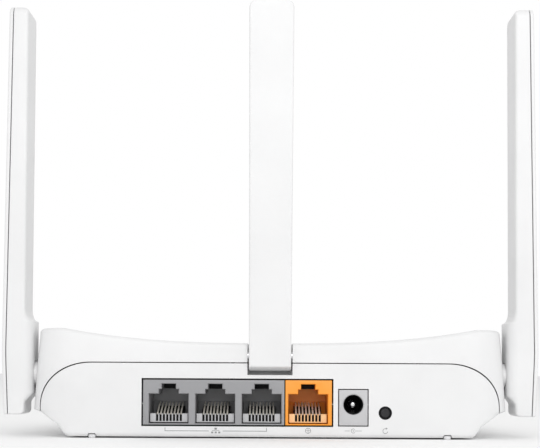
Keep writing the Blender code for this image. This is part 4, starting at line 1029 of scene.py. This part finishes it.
def build_reset_button():
    center = (BUTTON_LOW + BUTTON_HIGH) / 2
    length = BUTTON_HIGH.y - BUTTON_LOW.y
    button = lathe("reset_plunger", [
        (0.0, -0.12 * MM), (0.7 * MM, -0.09 * MM), (1.15 * MM, 0.0), (1.35 * MM, -0.06 * MM),
        (BUTTON_RADIUS, -0.22 * MM), (BUTTON_RADIUS, -length), (0.0, -length),
    ], facing_rear(center.x, BUTTON_LOW.y, center.z), BUTTON)
    settle(button, "button_dark", "reset_button", "reset_button")
    guide = hollow_lathe("reset_button_guide", [
        (GUIDE_BORE, -0.45 * MM), (GUIDE_RADIUS, -0.35 * MM), (GUIDE_RADIUS, -GUIDE_LENGTH),
        (GUIDE_BORE, -GUIDE_LENGTH),
    ], facing_rear(center.x, REAR_Y, center.z), BLACK)
    settle(guide, "component_black", "housing")


def build_feet():
    for index in range(1, 5):
        low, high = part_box(f"foot_{index}")
        middle = (low + high) / 2
        radius = (high.x - low.x) / 2
        foot = lathe(f"foot_pad_{index}", [
            (0.0, high.z), (radius - 0.1 * MM, high.z), (radius, high.z - 0.1 * MM), (radius, 0.5 * MM),
            (radius - 0.05 * MM, 0.25 * MM), (radius - 0.16 * MM, 0.07 * MM), (radius - 0.35 * MM, 0.0),
            (0.0, 0.0),
        ], Matrix.Translation((middle.x, middle.y, 0.0)), RUBBER)
        settle(foot, "foot_rubber", "housing", f"foot_{index}")


# ---------------- printed signs

INK_LIFT = 0.01 * MM
INK_DEPTH = 0.03 * MM
INK_Y = REAR_Y - INK_LIFT - INK_DEPTH
INK_LINE = 0.18 * MM
SIGN_BELOW_SOCKETS = 1.9 * MM
BRACKET_TICK = 1.1 * MM
BRACKET_BREAK = 2.1 * MM
RING_LIFT = 0.25 * MM


def ink_bar(x_low, x_high, z_low, z_high):
    return block("bar", (x_low, INK_Y, z_low), (x_high, INK_Y + INK_DEPTH, z_high), INK, bevel=0.008 * MM,
                 segments=1)


def ink_bars(x, z, spans):
    """Bars given as left, right, low and high in millimetres from a point."""
    return [ink_bar(x + left * MM, x + right * MM, z + low * MM, z + high * MM)
            for left, right, low, high in spans]


def ink_ring(x, z, radius, line, start, end):
    outer = arc((x, z + RING_LIFT), radius, start, end, 28)
    inner = arc((x, z + RING_LIFT), radius - line, end, start, 28)
    return outline_prism("ring", outer + inner, INK_Y, INK_Y + INK_DEPTH, 'XZ', INK)


def merge(name, things):
    """One object from several, which keep their own places."""
    bm = bmesh.new()
    for thing in things:
        bm.from_mesh(thing.data)
    material = things[0].data.materials[0]
    discard(*things)
    return as_object(name, bm, material)


def build_signs():
    """Generic signs in place of the printed words: no lettering."""
    low = LAN_LOW.z - SIGN_BELOW_SOCKETS
    left, right = SOCKET_X[0] - 1.1 * MM, SOCKET_X[2] + 1.6 * MM
    middle = (left + right) / 2
    tick = low + BRACKET_TICK
    bracket = [
        ink_bar(left, middle - BRACKET_BREAK, low, low + INK_LINE),
        ink_bar(middle + BRACKET_BREAK, right, low, low + INK_LINE),
        ink_bar(left, left + INK_LINE, low, tick),
        ink_bar(right - INK_LINE, right, low, tick),
        ink_bar(SOCKET_X[1] - INK_LINE / 2, SOCKET_X[1] + INK_LINE / 2, low + 0.45 * MM, tick),
    ]
    settle(merge("lan_bracket_print", bracket), "socket_grey", "housing")
    z = low + 0.05 * MM
    tree = ink_bars(middle, z, (
        (-0.35, 0.35, 0.45, 1.0), (-1.35, -0.75, -0.65, -0.15), (-0.3, 0.3, -0.65, -0.15),
        (0.75, 1.35, -0.65, -0.15), (-1.1, 1.1, 0.12, 0.24),
    ))
    settle(merge("lan_tree_print", tree), "socket_grey", "housing")
    x = SOCKET_X[3]
    globe = [ink_ring(x, z, 0.85 * MM, 0.14 * MM, 0, 360 - 0.01)]
    globe += ink_bars(x, z, ((-0.7, 0.7, 0.19, 0.31), (-0.06, 0.06, -0.45, 0.95)))
    settle(merge("wan_globe_print", globe), "socket_grey", "housing")
    x = (POWER_LOW.x + POWER_HIGH.x) / 2
    polarity = [ink_ring(x, z, 0.7 * MM, 0.14 * MM, 40, 320)]
    polarity += ink_bars(x, z, ((-0.14, 0.14, 0.11, 0.39), (-2.6, -1.0, 0.19, 0.31), (0.3, 2.6, 0.19, 0.31)))
    settle(merge("power_polarity_print", polarity), "socket_grey", "housing")
    x = (BUTTON_LOW.x + BUTTON_HIGH.x) / 2
    head = [(x + 0.15 * MM, z + 0.72 * MM), (x + 0.75 * MM, z + 0.98 * MM), (x + 0.2 * MM, z + 1.3 * MM)]
    arrow = [
        ink_ring(x, z, 0.8 * MM, 0.15 * MM, 60, 350),
        outline_prism("head", head, INK_Y, INK_Y + INK_DEPTH, 'XZ', INK),
    ]
    settle(merge("reset_arrow_print", arrow), "socket_grey", "housing")


# ---------------- carried-over pieces

def dress_frame():
    """Materials for the pieces whose CAD shape stays."""
    sides = ("left", "right", "rear")
    finishes = (
        (("processor_chip", "memory_chip", "flash_chip", "lan_transformer", "wan_transformer",
          "reset_switch_body"), CHIP),
        (("power_inductor",), FERRITE),
        (("main_board",), BOARD),
        (("status_led", "light_pipe"), CLEAR),
        (("clock_crystal", "power_capacitor_1", "power_capacitor_2", "dc_jack_leaf_contact",
          *(f"case_screw_{index}" for index in range(1, 5)),
          "left_antenna_retaining_clip", "right_antenna_retaining_clip",
          "rear_antenna_hinge_tube", "rear_antenna_hinge_pin"), STEEL),
        ([f"{side}_antenna_radiator" for side in sides], COPPER),
        ([f"{side}_antenna_{lead}" for side in sides for lead in ("coax", "board_lead")], CABLE),
    )
    for names, material in finishes:
        for name in names:
            node = frame["nodes"][name]
            node.data.materials.clear()
            node.data.materials.append(material)


# ---------------- studio

FLOOR_HALF = 3.0
WORLD_BEHIND = 0.78
WORLD_AHEAD = 1.0
LENS = 82.0
LENS_SHIFT = 0.217
CAMERA_BACK = 370 * MM
CAMERA_HEIGHT = 21.5 * MM
CAMERA_TILT = 92.14
CAMERA_ROLL = -0.3


def build_stage():
    """Pale floor, and a world that is a little brighter in front of the camera than behind it."""
    bm = bmesh.new()
    bmesh.ops.create_grid(bm, x_segments=2, y_segments=2, size=FLOOR_HALF)
    floor = as_object("studio_floor", bm, WHITE)
    material, tree, shader = start_material("studio_floor_paper", (0.93, 0.93, 0.93), 0.9)
    bump(tree, shader, noise_node(tree, 60.0), 0.05, 0.0002)
    floor.data.materials[0] = material
    world = bpy.data.worlds.new("studio")
    world.use_nodes = True
    tree = world.node_tree
    direction = tree.nodes.new("ShaderNodeTexCoord")
    parts = tree.nodes.new("ShaderNodeSeparateXYZ")
    span = tree.nodes.new("ShaderNodeMapRange")
    span.interpolation_type = 'SMOOTHSTEP'
    span.inputs["From Min"].default_value = 0.35
    span.inputs["From Max"].default_value = 0.85
    span.inputs["To Min"].default_value = WORLD_BEHIND
    span.inputs["To Max"].default_value = WORLD_AHEAD
    tree.links.new(direction.outputs["Generated"], parts.inputs["Vector"])
    tree.links.new(parts.outputs["Y"], span.inputs["Value"])
    tree.links.new(span.outputs["Result"], tree.nodes["Background"].inputs["Strength"])
    tree.nodes["Background"].inputs["Color"].default_value = (1.0, 1.0, 1.0, 1.0)
    bpy.context.scene.world = world


def area_light(name, place, target, size, power):
    lamp = bpy.data.lights.new(name, 'AREA')
    lamp.shape = 'RECTANGLE'
    lamp.size = size[0]
    lamp.size_y = size[1]
    lamp.energy = power
    holder = bpy.data.objects.new(name, lamp)
    bpy.context.scene.collection.objects.link(holder)
    holder.location = place
    holder.rotation_euler = (Vector(target) - Vector(place)).to_track_quat('-Z', 'Y').to_euler()


def build_lights():
    area_light("key_behind", (0.1, -1.1, 0.65), (0, 0, 0.05), (0.9, 0.7), 6.4)
    area_light("fill_right", (0.8, -0.35, 0.4), (0, 0, 0.05), (0.4, 0.6), 0.25)


def build_camera():
    camera = bpy.data.cameras.new("camera")
    # The lens is shifted up a long way, so the sensor is fitted to the picture's height. Its width,
    # which then sets nothing in this picture, is narrow to keep the object whole from other sides.
    camera.sensor_fit = "VERTICAL"
    camera.sensor_height = 29.867
    camera.sensor_width = 23.0
    camera.lens = LENS
    camera.clip_start = 0.01
    camera.shift_y = LENS_SHIFT
    holder = bpy.data.objects.new("camera", camera)
    bpy.context.scene.collection.objects.link(holder)
    holder.location = (0.0, REAR_Y - CAMERA_BACK, CAMERA_HEIGHT)
    holder.rotation_euler = (math.radians(CAMERA_TILT), math.radians(CAMERA_ROLL), 0.0)
    bpy.context.scene.camera = holder


bpy.context.scene.view_settings.view_transform = 'Standard'
dress_frame()
build_bottom_case()
build_top_cover()
build_antennas()
build_sockets()
build_power_jack()
build_reset_button()
build_feet()
build_signs()
build_stage()
build_lights()
build_camera()
